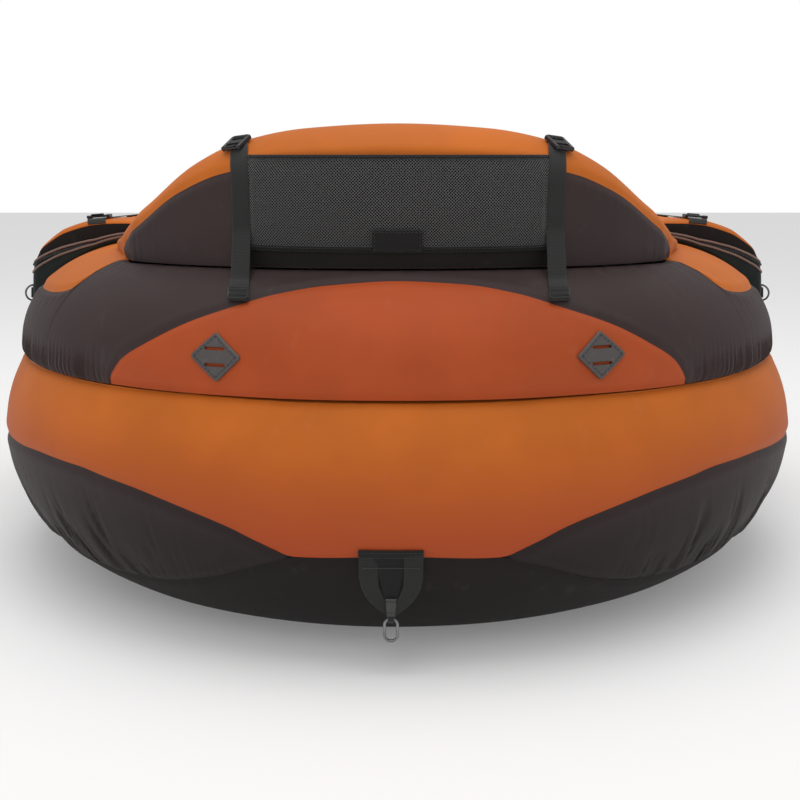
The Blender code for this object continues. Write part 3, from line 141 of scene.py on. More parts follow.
# ---- the tubes' surfaces: s runs along the centreline, 0 at the middle of the stern
def follow(s):
    s = np.asarray(s, float)
    turn = np.minimum(np.abs(s), quarter) / tube["sternRadius"]
    ahead = np.maximum(np.abs(s) - quarter, 0)
    side = np.where(s < 0, -1.0, 1.0)
    out = np.stack([side * np.sin(turn), -np.cos(turn), np.zeros_like(turn)], -1)
    middle = out * tube["sternRadius"]
    middle[..., 1] += tube["arcY"] + ahead
    return np.degrees(turn), ahead, out, middle


def place(out, middle, reach, level):
    made = middle + out * reach[..., None]
    made[..., 2] = level
    return made


def turnOf(s):
    return follow(s)[0]


def creaseLevel(turn):
    return tube["creaseHeight"] + tube["creaseLift"] * np.cos(np.radians(turn)) ** 2


def hullShape(turn, ahead):
    tipStart = tube["legLength"] - tube["noseDepth"] - tube["tipLength"]
    taper = np.clip((ahead - tipStart) / tube["tipLength"], 0, 1)
    radius = tube["hullRadius"] - (tube["hullRadius"] - tube["tipRadius"]) * taper ** tube["tipCurve"]
    centre = tube["hullRadius"] - tube["floorDent"] + tube["tipRise"] * taper ** 2
    crease = creaseLevel(turn)
    rounding = ease((ahead - tube["armLength"]) / tube["deckBlend"])
    deck = crease + (np.maximum(centre + radius, crease) + tube["gap"] - crease) * rounding
    return radius, centre, deck


def hullPoint(s, angle, inset=0):
    s, angle = paired(s, angle)
    turn, ahead, out, middle = follow(s)
    radius, centre, deck = hullShape(turn, ahead)
    rise = np.sin(np.radians(angle))
    steep, far = 0.001, 9  # flatter than this, the deck and the floor don't cut the section
    up = np.where(rise > steep, (deck - inset - centre) / np.maximum(rise, steep), far)
    down = np.where(rise < -steep, (inset - centre) / np.minimum(rise, -steep), far)
    reach = np.minimum(radius - inset, np.minimum(up, down))
    return place(out, middle, reach * np.cos(np.radians(angle)), centre + reach * rise)


def creaseAngle(s):
    radius, centre, deck = hullShape(*follow(s)[:2])
    return np.minimum(np.degrees(np.arcsin(np.minimum((deck - centre) / radius, 1))), seams["frontCrease"])


def armShape(turn, ahead):
    base = creaseLevel(turn)
    half = np.sqrt(tube["hullRadius"] ** 2 - (base - tube["hullRadius"]) ** 2) + tube["armBulge"]
    nose = np.clip((ahead - (tube["armLength"] - tube["armNose"])) / tube["armNose"], 0, 1)
    scale = np.sqrt(1 - nose ** 2)
    return half * scale, (tube["armHeight"] - tube["armWaist"]) * scale, base + tube["armWaist"] * scale, base


def armPoint(s, angle, inset=0):
    s, angle = paired(s, angle)
    turn, ahead, out, middle = follow(s)
    half, rise, waist, base = armShape(turn, ahead)
    up = np.sin(np.radians(angle))
    level = waist + (rise - inset) * up
    level = np.where(up < 0, np.maximum(level, base + tube["gap"]), level)
    return place(out, middle, (half - inset) * np.cos(np.radians(angle)), level)


def armCrease(s):
    rise, waist, base = armShape(*follow(s)[:2])[1:]
    return -np.degrees(np.arcsin(np.minimum((waist - base - tube["gap"]) / rise, 1)))


def armTop(turn, ahead, reach):  # the armrest tube's upper side at this distance from its centreline
    half, rise, waist = armShape(turn, ahead)[:3]
    return waist + rise * np.sqrt(1 - (reach / half) ** 2)


def backShape(turn):
    base = armShape(turn, turn * 0)[3] + tube["armHeight"]
    share = glide(seams["outline"], turn)
    top = base + tube["backEndHeight"] + (tube["backRise"] - tube["backEndHeight"]) * share
    widening = np.minimum(share / tube["taperShare"], 1)
    half = tube["backEndHalf"] + (tube["backHalf"] - tube["backEndHalf"]) * widening
    return half, top, np.minimum(half, (top - base) * tube["capShare"])


def backPoint(s, angle, inset=0):
    # below 0 down the rear face, 0 to 180 over the top, above 180 down the front
    s, angle = paired(s, angle)
    turn, ahead, out, middle = follow(s)
    half, top, cap = backShape(turn)
    over = np.clip(angle, 0, 180)
    reach = (half - inset) * np.cos(np.radians(over))
    level = top - cap + (cap - inset) * np.sin(np.radians(over))
    down = np.where(angle < 0, -angle, np.maximum(angle - 180, 0)) / 2
    foot = armTop(turn, ahead, reach) + tube["gap"] + inset
    level = np.where(down > 0, top - cap + (foot - (top - cap)) * down, level)
    return place(out, middle, reach, level)


def backReach(turn, level, most=0.999):  # half the backrest's thickness at a level
    half, top, cap = backShape(turn)
    arch = np.clip((level - (top - cap)) / cap, 0, most)
    return half * np.sqrt(1 - arch ** 2)


def footAngle(s):
    turn, ahead = follow(s)[:2]
    half = backShape(turn)[0]
    return np.degrees(np.arccos(half / np.maximum(armShape(turn, ahead)[0], 2 * half)))


def backSeam(s):
    cap = backShape(turnOf(s))[2]
    return np.degrees(np.arcsin(1 - np.minimum(tube["seamDrop"], cap * tube["seamShare"]) / cap))


def rearSeam(s):  # the orange cloth runs down the shoulders and takes over the rear face
    fall = ease((turnOf(s) - seams["fallStart"]) / seams["fallSpan"])
    return backSeam(s) * (1 - fall) + seams["fallFoot"] * fall


# ---- shader trees written as Python sums
class Wire:  # one output of a node
    def __init__(self, paint, socket):
        self.paint, self.socket = paint, socket

    def pick(self, name):
        return Wire(self.paint, self.socket.node.outputs[name])

    def sum(self, operation, first, second=0.5):
        return self.paint.node("ShaderNodeMath", {"operation": operation}, {0: first, 1: second})

    def __add__(self, other):
        return self.sum("ADD", self, other)

    def __rsub__(self, other):
        return self.sum("SUBTRACT", other, self)

    def __mul__(self, other):
        return self.sum("MULTIPLY", self, other)

    __radd__, __rmul__ = __add__, __mul__

    def wave(self, millimetres):  # ribs or threads at this spacing
        return self.sum("SINE", self * (2 * math.pi / millimetres * 1000))

    def ramp(self, low, high):  # 0 below low, 1 above high
        return self.paint.node("ShaderNodeMapRange", {"interpolation_type": "SMOOTHSTEP"},
                               {"Value": self, "From Min": low, "From Max": high})


class Paint:  # a Principled material and the nodes that feed it
    def __init__(self, name, colour, roughness, metallic=0.0, **settings):
        self.material = bpy.data.materials.new(name)
        self.material.use_nodes = True
        self.tree = self.material.node_tree
        self.shader = self.tree.nodes["Principled BSDF"]
        settings.update(Base_Color=(*colour, 1), Roughness=roughness, Metallic=metallic)
        for key, value in settings.items():
            self.shader.inputs[key.replace("_", " ")].default_value = value

    def node(self, kind, settings=None, values=None, output=0):
        made = self.tree.nodes.new(kind)
        for key, value in (settings or {}).items():
            setattr(made, key, value)
        for key, value in (values or {}).items():
            if isinstance(value, Wire):
                self.tree.links.new(value.socket, made.inputs[key])
            else:
                made.inputs[key].default_value = value
        return Wire(self, made.outputs[output])

    def feed(self, **wires):
        for key, wire in wires.items():
            self.tree.links.new(wire.socket, self.shader.inputs[key.replace("_", " ")])

    def noise(self, vector, scale, detail=3.0, roughness=0.55):
        return self.node("ShaderNodeTexNoise", None,
                         {"Vector": vector, "Scale": scale, "Detail": detail, "Roughness": roughness})

    def mix(self, share, first, second):
        return self.node("ShaderNodeMix", {"data_type": "RGBA"}, {0: share, 6: first, 7: second}, 2)

    def cloth(self):  # the piece's own UV map, in metres
        return self.node("ShaderNodeUVMap", {"uv_map": "cloth"})

    def space(self):
        return self.node("ShaderNodeTexCoord", None, None, 3)

    def axes(self, vector):
        parts = self.node("ShaderNodeSeparateXYZ", None, {"Vector": vector})
        return parts, parts.pick("Y"), parts.pick("Z")

    def bump(self, height, millimetres, under=None):
        values = {"Height": height, "Strength": 1.0, "Distance": millimetres / 1000}
        if under is not None:
            values["Normal"] = under
        return self.node("ShaderNodeBump", None, values)


def shade(colour, amount):
    return (*(min(channel * amount, 1) for channel in colour[:3]), 1)


def coatedCloth(name, colour, roughness, weave=0.9, low=None):
    paint = Paint(name, colour, roughness, Specular_IOR_Level=0.22)
    across, along = paint.axes(paint.cloth())[:2]
    spot = paint.space()
    blotch = paint.noise(spot, 5.5, 3.0)
    dust = paint.noise(spot, 46.0, 4.0, 0.6)
    tone = paint.mix(blotch.ramp(0.32, 0.70), shade(colour, 0.90), shade(colour, 1.08))
    dusty = shade(tuple(channel * 0.7 + 0.06 for channel in colour), 1.25)
    tone = paint.mix(dust.ramp(0.58, 0.78) * 0.16, tone, dusty)
    if low is not None:  # painted shade: the cloth is darker and redder towards the underside, standing in for the shade under the tube
        bottom, top, strength, under = low
        underShade = (1 - paint.axes(spot)[2].ramp(bottom, top)) * strength
        tone = paint.mix(underShade, tone, (*under, 1))
    paint.feed(Base_Color=tone, Roughness=roughness - 0.05 + blotch * 0.10 + dust * 0.05)
    threads = across.wave(weave) * along.wave(weave)
    creases = paint.noise(spot, 24.0, 3.0, 0.6)
    paint.feed(Normal=paint.bump(threads, 0.035, paint.bump(creases, 0.55)))
    return paint.material


def webbingPaint(name, colour, rib=1.9, pick=1.4):
    paint = Paint(name, colour, 0.72, Sheen_Weight=0.25, Sheen_Roughness=0.4, Specular_IOR_Level=0.35)
    across, along = paint.axes(paint.cloth())[:2]
    cord = across.wave(rib) * 0.6 + along.wave(pick) * 0.4
    fibre = paint.noise(paint.space(), 900.0, 2.0)
    tone = paint.mix((cord * 0.5 + 0.5) * (0.6 + fibre * 0.5), shade(colour, 0.62), shade(colour, 1.55))
    paint.feed(Base_Color=tone, Roughness=0.62 + fibre * 0.2)
    paint.feed(Normal=paint.bump(cord + fibre * 0.3, 0.16))
    return paint.material


def mouldedPaint(name, colour, roughness=0.36):
    paint = Paint(name, colour, roughness, Specular_IOR_Level=0.5)
    grain = paint.noise(paint.space(), 1500.0, 2.0)
    scuff = paint.noise(paint.space(), 130.0, 4.0, 0.65)
    paint.feed(Base_Color=paint.mix(scuff.ramp(0.55, 0.8), shade(colour, 1.0), shade(colour, 1.9)))
    paint.feed(Roughness=roughness - 0.06 + scuff * 0.20, Normal=paint.bump(grain, 0.05))
    return paint.material


def metalPaint(name, colour, roughness, stretch=(1.0, 1.0, 1.0)):
    paint = Paint(name, colour, roughness, 1.0)
    spot = paint.node("ShaderNodeMapping", None, {"Vector": paint.space(), "Scale": stretch})
    streak = paint.noise(spot, 220.0, 3.0, 0.7)
    tarnish = paint.noise(paint.space(), 60.0, 3.0)
    paint.feed(Base_Color=paint.mix(tarnish.ramp(0.35, 0.75), shade(colour, 0.72), shade(colour, 1.12)))
    paint.feed(Roughness=roughness - 0.06 + streak * 0.16, Normal=paint.bump(streak, 0.02))
    return paint.material


def paddedPaint(name, colour):
    paint = Paint(name, colour, 0.85, Sheen_Weight=0.35, Sheen_Roughness=0.55, Specular_IOR_Level=0.2)
    spot = paint.space()
    cells = paint.node("ShaderNodeTexVoronoi", {"feature": "F1"}, {"Vector": spot, "Scale": 300.0})
    wear = paint.noise(spot, 14.0, 4.0)
    worn = wear.ramp(0.35, 0.7) * 0.7 + cells * 0.3
    paint.feed(Base_Color=paint.mix(worn, shade(colour, 0.75), shade(colour, 1.35)))
    paint.feed(Roughness=0.78 + wear * 0.12, Normal=paint.bump(cells, 0.25, paint.bump(wear, 0.5)))
    return paint.material


def filmPaint(name, colour):
    paint = Paint(name, colour, 0.32, Coat_Weight=0.2)
    cloud = paint.noise(paint.space(), 18.0, 3.0)
    paint.feed(Base_Color=paint.mix(cloud.ramp(0.3, 0.7), shade(colour, 0.9), shade(colour, 1.1)))
    paint.feed(Roughness=0.26 + cloud * 0.14, Normal=paint.bump(cloud, 0.8))
    return paint.material


orangeUnderShade = (0.13, 0.31, 0.95, (0.40, 0.060, 0.015))  # painted shade towards the underside: from and to this height, how strong, which colour
# painted shade towards the underside of the brown cloth: from and to this height, how strong, which colour
brownUnderShade = (0.10, 0.25, 0.95, (0.011, 0.0065, 0.006))
paints = {
    "orange": coatedCloth("orangeCloth", (0.575, 0.142, 0.013), 0.58, low=orangeUnderShade),
    "crescent": coatedCloth("rustCloth", (0.44, 0.074, 0.016), 0.60),
    "brown": coatedCloth("brownCloth", (0.042, 0.025, 0.025), 0.55, low=brownUnderShade),
    "black": coatedCloth("blackCloth", (0.0085, 0.0060, 0.0052), 0.64),
    "pocket": coatedCloth("pocketCloth", (0.011, 0.016, 0.014), 0.58, 1.3),
    "film": filmPaint("chamberFilm", (0.42, 0.44, 0.46)),
    "webbing": webbingPaint("blackWebbing", (0.013, 0.0145, 0.0125)),
    "mesh": webbingPaint("netStrand", (0.150, 0.152, 0.152), 0.8),
    "binding": webbingPaint("bindingTape", (0.012, 0.012, 0.012), 1.2),
    "tape": webbingPaint("blackTape", (0.004, 0.004, 0.004)),
    "plastic": mouldedPaint("blackPlastic", (0.008, 0.008, 0.009)),
    "lash": mouldedPaint("greyRubber", (0.070, 0.062, 0.060), 0.48),
    "steel": metalPaint("darkSteel", (0.24, 0.24, 0.25), 0.30),
    "zip": metalPaint("zipTeeth", (0.10, 0.10, 0.10), 0.42),
    "aluminium": metalPaint("brushedTube", (0.62, 0.63, 0.65), 0.32, (0.04, 1.0, 1.0)),
    "padding": paddedPaint("cushionCloth", (0.050, 0.050, 0.052)),
    "tongue": webbingPaint("greyWebbing", (0.060, 0.060, 0.058), 1.4),
    "thread": webbingPaint("darkThread", (0.030, 0.026, 0.025), 0.5),
    "piping": webbingPaint("taupePiping", (0.235, 0.150, 0.120), 1.0),
}
print("finishes mixed")


# ---- meshes
def makeMesh(name, points, faces, uvs=None):
    mesh = bpy.data.meshes.new(name)
    mesh.from_pydata(np.asarray(points, float).reshape(-1, 3).tolist(), [], faces)
    if uvs is not None:
        layer = mesh.uv_layers.new(name="cloth")
        corners = np.zeros(len(mesh.loops), int)
        mesh.loops.foreach_get("vertex_index", corners)
        layer.data.foreach_set("uv", np.asarray(uvs, np.float32).reshape(-1, 2)[corners].ravel())
    mesh.update()
    return mesh


def dress(name, mesh, paint, body="float_tube", slot=None, node=None, sharp=40):
    mesh.polygons.foreach_set("use_smooth", [True] * len(mesh.polygons))
    mesh.set_sharp_from_angle(angle=math.radians(sharp))
    made = bpy.data.objects.new(name, mesh)
    collection.objects.link(made)
    mesh.materials.clear()
    mesh.materials.append(paints[paint])
    mesh.validate()
    if node:
        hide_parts(node)
    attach(made, body)
    return made


def quads(rows, columns, closed=False):
    i, j = np.meshgrid(np.arange(rows - 1), np.arange(columns if closed else columns - 1), indexing="ij")
    after = (j + 1) % columns
    faces = [i * columns + j, i * columns + after, (i + 1) * columns + after, (i + 1) * columns + j]
    return np.stack(faces, -1).reshape(-1, 4).tolist()


def outwards(points, faces):  # the same faces, pointing out of a closed skin
    fans = np.array([(face[0], second, third) for face in faces for second, third in zip(face[1:], face[2:])])
    first, second, third = (points[corner] for corner in fans.T)
    volume = np.sum(first * np.cross(second, third))
    return [face[::-1] for face in faces] if volume < 0 else faces


def shell(name, outer, inner, uv):  # a closed thin sheet between two grids of points
    rows, columns = outer.shape[:2]
    count = rows * columns
    faces = quads(rows, columns)
    faces += [[corner + count for corner in face[::-1]] for face in faces]
    grid = np.arange(count).reshape(rows, columns)
    for line in (grid[0, ::-1], grid[-1], grid[:, 0], grid[::-1, -1]):
        faces += np.stack([line[:-1], line[1:], line[1:] + count, line[:-1] + count], -1).tolist()
    i, j = rows // 2, columns // 2
    normal = np.cross(outer[i, j] - outer[i, j - 1], outer[i, j] - outer[i - 1, j])
    if normal @ (outer[i, j] - inner[i, j]) > 0:
        faces = [face[::-1] for face in faces]
    points = np.concatenate([outer.reshape(-1, 3), inner.reshape(-1, 3)])
    return makeMesh(name, points, faces, np.concatenate([uv.reshape(-1, 2)] * 2))


def skinNormals(points, surface, s, angle):
    normal = unit(np.cross(np.gradient(points, axis=0), np.gradient(points, axis=1)))
    outward = points - surface(s, angle, 0.002)
    flip = np.sign(np.sum(normal * outward, -1, keepdims=True))
    return normal * np.where(flip == 0, 1, flip)


def lengths(points, axis):
    step = np.linalg.norm(np.diff(points, axis=axis), axis=-1)
    total = np.cumsum(step, axis=axis)
    start = np.zeros_like(np.take(total, [0], axis=axis))
    return np.concatenate([start, total], axis=axis)


# ---- sewn panels
sewing = {"wall": 0.0024, "fold": 0.006, "pitch": 0.011, "crowding": 0.06, "ridge": 0.35, "hem": 0.003,
          "patches": 0.06, "floor": 0.0008}


def clothPanel(name, surface, s, low, high, columns, paint, node, tuck=(0.0020, 0.0020), pucker=(0.0, 0.0),
               reach=(0.02, 0.02), relief=None, seed=1):
    # a panel tucks in at its two seams and gathers there in small folds
    fold, pitch = sewing["fold"], sewing["pitch"]
    share = np.linspace(0, 1, columns)[None, :]
    share = share - sewing["crowding"] * np.sin(2 * np.pi * share) / np.pi
    s = np.asarray(s, float)[:, None]
    low, high = (np.broadcast_to(np.asarray(edge, float).reshape(-1, 1), s.shape) for edge in (low, high))
    angle = low + (high - low) * share
    base = surface(s, angle)
    normal = skinNormals(base, surface, s, angle)
    across = lengths(base, 1)
    width = across[:, -1:]
    along = lengths(base, 0)[:, columns // 2][:, None]
    lift = np.zeros(across.shape)
    for side, distance in enumerate((across, width - across)):
        lift -= tuck[side] * np.exp(-(distance / fold) ** 2)
        lift += sewing["ridge"] * tuck[side] * np.exp(-((distance - 2 * fold) / (1.2 * fold)) ** 2)
        if pucker[side]:
            phase = along / pitch + 0.8 * wander(along / (4 * pitch), side * 7.3, seed + 3)
            fine = wander(along / (pitch * 0.6), distance / 0.05, seed + 5)
            ripple = np.sin(2 * np.pi * phase) * 0.6 + fine * 0.8
            patch = wander(along / sewing["patches"], side * 3.1, seed + side)
            strength = 0.35 + 0.65 * np.clip(patch + 0.3, 0, 1)
            fade = np.exp(-distance / (reach[side] * (0.5 + strength))) * offSeam(distance, sewing["hem"])
            lift += pucker[side] * ripple * strength * fade
    if relief is not None:
        lift += relief(s, along, across, width)
    outer = base + normal * lift[..., None]
    inner = base + normal * (np.minimum(lift, 0) - sewing["wall"])[..., None]
    outer[..., 2] = np.maximum(outer[..., 2], 0.0)
    inner[..., 2] = np.maximum(inner[..., 2], sewing["floor"])
    uv = np.stack([np.broadcast_to(along, across.shape), across], -1)
    return dress(name, shell(name, outer, inner, uv), paint, node=node)


def offSeam(distance, size):  # 0 on a seam, and near 1 beyond this size
    return 1 - np.exp(-distance / size)


def between(turn, start, rise, end, fall):  # 1 between two turns of the stern, eased at both
    return ease((turn - start) / rise) * (1 - ease((turn - end) / fall))


def swells(height, long, wide, seed):  # broad, shallow waves in a cover
    return lambda s, along, across, width: wander(along / long, across / wide, seed) * height

# ---- hull cover
hull = {"step": 0.0042, "coarse": 0.0065, "sideStep": 0.0024, "least": 0.02,
        "sideGather": 0.0080, "softGather": 0.0020, "deepest": 0.0075, "valley": 0.24, "lean": 0.22}
whole = spread(-hullEnd, hullEnd, hull["step"])
coarse = spread(-hullEnd, hullEnd, hull["coarse"])
crease = creaseAngle(coarse)


def seamAt(name, s):
    return glide(seams[name], turnOf(s))


def sideWrinkles(s, along, across, width):
    # long gathers that rise from the lower seam where the hull curves away from the eye
    where = between(np.degrees(np.abs(s) / tube["sternRadius"]), 26, 14, 92, 10)
    lean = along + across * hull["lean"] * np.sign(s)
    narrow = wander(lean / 0.016, across / 0.15, 31) + 0.35 * wander(lean / 0.006, across / 0.12, 34)
    depth = np.clip(0.5 + 0.9 * wander(along / 0.026, across / 0.09, 35), 0, 1)
    valley = -np.exp(-(narrow / hull["valley"]) ** 2) * depth
    soft = wander(lean / 0.021, across / 0.2, 32)
    tall = 0.050 + 0.070 * (wander(along / 0.034, 1.5, 33) * 0.5 + 0.5)
    fade = np.exp(-(across / tall) ** 2) * offSeam(across, 0.004)
    gather = where * fade * (hull["sideGather"] * valley + hull["softGather"] * soft)
    return hull["deepest"] * np.tanh(gather / hull["deepest"])


def bandRelief(s, along, across, width):
    nip = wander(along / 0.014, across / 0.05, 42) * 0.0005 * np.exp(-(width - across) / 0.018)
    return wander(along / 0.11, across / 0.13, 41) * 0.0007 + nip


clothPanel("hullBandCloth", hullPoint, whole, seamAt("orange", whole), creaseAngle(whole), 30, "orange",
           "hull_band_panel", (0.0018, 0.0022), (0.0005, 0.0005), (0.014, 0.014), bandRelief, 11)
lowEdge = np.minimum(seamAt("black", coarse), seamAt("orange", coarse) - hull["least"])
clothPanel("hullBottomCloth", hullPoint, coarse, 0 * coarse + seams["bottom"], lowEdge, 48, "black",
           "hull_bottom_panel", pucker=(0.0004, 0.0008), reach=(0.02, 0.03), seed=12,
           relief=swells(0.0006, 0.09, 0.07, 43))
for sign, label in leftRight:
    part = sign * spread(runOf(seams["sideStart"]), hullEnd, hull["sideStep"])
    lower, upper = seamAt("black", part), seamAt("orange", part)
    clothPanel(f"hullSideCloth_{label}", hullPoint, part, lower, np.maximum(upper, lower + 0.03), 40, "brown",
               f"hull_side_panel_{label}", pucker=(0.0006, 0.0004), reach=(0.03, 0.012),
               relief=sideWrinkles, seed=13 + sign)
clothPanel("hullDeckCloth", hullPoint, coarse, crease, 180 - crease, 30, "orange", "hull_deck_panel",
           (0.0018, 0.0018), (0.0005, 0.0005), seed=15)
clothPanel("hullInnerCloth", hullPoint, coarse, 180 - crease, 0 * coarse + 360 + seams["bottom"], 26, "black",
           "hull_inner_panel", pucker=(0.0006, 0.0005), seed=16)
print("hull cover sewn")

# ---- armrest cover
arm = {"gather": 0.0052, "gatherPitch": 0.0098, "gatherTall": 0.026, "fine": 0.0012, "wrinkle": 0.0008,
       "capColumns": 60, "capRows": 14, "capThick": 0.003, "capMiddle": 0.45}


def armEdges(s):
    turn = turnOf(s)
    crease, foot = armCrease(s), footAngle(s)
    crescent = np.where(turn < seams["crescentEnd"], np.maximum(seamAt("crescent", s), crease), crease)
    opened = ease((turn - seams["tearStart"]) / (seams["tearFull"] - seams["tearStart"]))
    shoulder = foot + (np.minimum(seamAt("shoulder", s), foot) - foot) * opened
    inner = (180 - foot) * (1 - opened) + seams["inner"] * opened
    return crease, crescent, shoulder, inner


def armGathers(s, along, across, width):
    # tight vertical folds where the brown cloth meets the hull beside the crescent
    where = between(np.degrees(np.abs(s) / tube["sternRadius"]), 38, 6, 66, 14)
    folds = np.sin(2 * np.pi * (along / arm["gatherPitch"] + 0.5 * wander(along / 0.03, 2.0, 51)))
    low = np.exp(-(across / arm["gatherTall"]) ** 2) * offSeam(across, 0.003)
    fine = wander(along / 0.008, across / 0.06, 52) * np.exp(-(width - across) / 0.022)
    sharp = np.where(folds < 0, folds, 0.45 * folds)
    return where * arm["gather"] * sharp * low + arm["fine"] * fine * offSeam(width - across, 0.003)


part = spread(-armEnd, armEnd, 0.0026)
crease, crescent, shoulder, inner = armEdges(part)
clothPanel("armrestOuterCloth", armPoint, part, crescent, np.maximum(shoulder, crescent + 0.05), 42, "brown",
           "armrest_outer_panel", (0.0018, 0.0022), (0.0003, 0.0009), (0.01, 0.016), armGathers, 21)
part = spread(-runOf(40), runOf(40), 0.0034)
crease, crescent = armEdges(part)[:2]
clothPanel("sternCrescentCloth", armPoint, part, crease, np.maximum(crescent, crease + 0.6), 44, "crescent",
           "stern_crescent_panel", (0.0022, 0.0016), (0.0004, 0.0003), (0.012, 0.01),
           swells(0.0008, 0.10, 0.08, 53), 22)
part = spread(-armEnd, armEnd, 0.0058)
crease, crescent, shoulder, inner = armEdges(part)
clothPanel("armrestInnerCloth", armPoint, part, inner, 180 - crease, 28, "black", "armrest_inner_panel",
           pucker=(0.0006, 0.0006), seed=23)
for sign, label in leftRight:
    part = sign * spread(runOf(seams["tearStart"] + 0.2), armEnd, 0.0042)
    shoulder, inner = armEdges(part)[2:]
    clothPanel(f"armrestTopCloth_{label}", armPoint, part, shoulder, np.maximum(inner, shoulder + 0.05), 44,
               "orange", f"armrest_top_panel_{label}", (0.0022, 0.0020), (0.0006, 0.0005), (0.016, 0.014),
               seed=24 + sign)


def armCap(sign, label):  # the gathered end of an armrest
    columns, rows = arm["capColumns"], arm["capRows"]
    start = float(armCrease(armEnd))
    rim = armPoint(sign * armEnd, np.linspace(start, 180 - start, columns))
    middle = rim.mean(0)
    middle[2] = rim[:, 2].min() + arm["capMiddle"] * (rim[:, 2].max() - rim[:, 2].min())
    share = np.linspace(0, 1, rows)[:, None, None]
    outer = rim * (1 - share) + middle * share
    share = share[..., 0]
    outer[..., 1] += tube["armEndDepth"] * np.sin(share * math.pi / 2) ** 0.7
    outer[..., 1] += arm["wrinkle"] * np.sin(math.pi * share) * np.sin(np.arange(columns) * 1.9)
    uv = np.stack(np.meshgrid(np.linspace(0, 0.05, rows), np.linspace(0, 0.2, columns), indexing="ij"), -1)
    dress(f"armrestEndCloth_{label}", shell("armrestEnd", outer, outer - (0, arm["capThick"], 0), uv), "orange",
          node=f"armrest_end_panel_{label}")


for sign, label in leftRight:
    armCap(sign, label)
print("armrest cover sewn")

# ---- backrest cover
back = {"step": 0.0034, "rearTurn": 56.9, "bagTurn": 65, "frontStep": 0.0055}


def rearRelief(s, along, across, width):
    shoulder = ease((np.degrees(np.abs(s)) / tube["sternRadius"] - 38) / 8)
    nips = wander(along / 0.007, across / 0.05, 61) * (0.0009 + 0.0014 * shoulder) * np.exp(-across / 0.016)
    return nips * offSeam(across, 0.003) + wander(along / 0.12, across / 0.08, 62) * 0.0008


part = spread(-runOf(back["rearTurn"]), runOf(back["rearTurn"]), back["step"])
clothPanel("backrestRearCloth", backPoint, part, 0 * part - 2, np.maximum(rearSeam(part), -1.98), 34, "brown",
           "backrest_rear_panel", (0.0016, 0.0020), (0.0005, 0.0006), (0.012, 0.012), rearRelief, 31)
part = spread(-backEnd, backEnd, back["step"])
clothPanel("backrestTopCloth", backPoint, part, rearSeam(part), 180 - backSeam(part), 40, "orange",
           "backrest_top_panel", (0.0020, 0.0020), (0.0006, 0.0006), (0.012, 0.012), seed=32)
part = spread(-backEnd, backEnd, back["frontStep"])
clothPanel("backrestFrontCloth", backPoint, part, 180 - backSeam(part), 0 * part + 182, 24, "black",
           "backrest_front_panel", pucker=(0.0006, 0.0005), seed=33)
print("backrest cover sewn")

# ---- air chambers, seen only where a cover is left out
# The bags lie deeper than the deepest gather of the cover
bagSize = {"inset": 0.0125, "step": 0.012, "end": 0.004, "hullSides": 40, "sides": 36}


def bag(name, surface, start, end, angles, node):
    s = spread(start, end, bagSize["step"])[:, None]
    points = surface(s, angles(s), bagSize["inset"])
    rows, count = points.shape[:2]
    faces = quads(rows, count, closed=True)
    flat = np.concatenate([points.reshape(-1, 3), [points[0].mean(0), points[-1].mean(0)]])
    last = (rows - 1) * count
    for j in range(count):
        faces.append([len(flat) - 2, (j + 1) % count, j])
        faces.append([len(flat) - 1, last + j, last + (j + 1) % count])
    dress(name, makeMesh(name, flat, outwards(flat, faces)), "film", node=node)


def armBagAngles(s):
    start = armCrease(s)
    return start + (180 - 2 * start) * np.linspace(0, 1, bagSize["sides"])


for sign, label in leftRight:
    bag(f"hullBag_{label}", hullPoint, sign * bagSize["end"], sign * (hullEnd - bagSize["end"]),
        lambda s: np.linspace(0, 360, bagSize["hullSides"], endpoint=False), f"hull_chamber_{label}")
bag("armrestBag", armPoint, bagSize["end"] - armEnd, armEnd - bagSize["end"], armBagAngles, "armrest_chamber")
bag("backrestBag", backPoint, -runOf(back["bagTurn"]), runOf(back["bagTurn"]),
    lambda s: np.linspace(-1.6, 181.6, bagSize["sides"]), "backrest_chamber")
print("air chambers filled")


# ---- building blocks for the rigging
def loft(name, rings, looped=False):  # a closed skin through rings of points
    rings = np.asarray(rings, float)
    count, sides = rings.shape[:2]
    faces = quads(count, sides, closed=True)
    last = (count - 1) * sides
    if looped:
        faces += [[last + j, last + (j + 1) % sides, (j + 1) % sides, j] for j in range(sides)]
    else:
        faces += [list(range(sides))[::-1], list(range(last, last + sides))]
    flat = rings.reshape(-1, 3)
    uv = np.stack([np.broadcast_to(lengths(rings, 0)[:, :1], (count, sides)), lengths(rings, 1)], -1)
    return makeMesh(name, flat, outwards(flat, faces), uv)


def sweep(name, path, side, normal, profile, looped=False):  # a profile carried along a path
    path, side, normal, profile = (np.asarray(part, float) for part in (path, side, normal, profile))
    if profile.ndim == 2:
        profile = np.broadcast_to(profile, (len(path), *profile.shape))
    side, normal = (np.broadcast_to(part, path.shape) for part in (side, normal))
    rings = path[:, None] + side[:, None] * profile[..., :1] + normal[:, None] * profile[..., 1:]
    return loft(name, rings, looped)


def lay(name, path, side, normal, profile, paint, looped=False, frame=None, **dressing):
    mesh = sweep(name, path, side, normal, profile, looped)
    if frame:
        mesh.transform(frame)
    return dress(name, mesh, paint, **dressing)


def flatProfile(width, thick, columns=9):  # a band with round edges
    bend = np.radians([60, 20, -20, -60])
    run = np.linspace(-1, 1, columns) * (width - thick) / 2
    top = np.stack([run, run * 0 + thick / 2], -1)
    edge = np.stack([(width - thick) / 2 + thick / 2 * np.cos(bend), thick / 2 * np.sin(bend)], -1)
    return np.concatenate([top, edge, -top, -edge])


def roundProfile(radius, sides=12):
    turn = np.linspace(0, 2 * np.pi, sides, endpoint=False)
    return np.stack([np.cos(turn), np.sin(turn)], -1) * radius


def heading(path, looped=False):
    if looped:
        return unit(np.roll(path, -1, 0) - np.roll(path, 1, 0))
    return unit(np.gradient(path, axis=0))


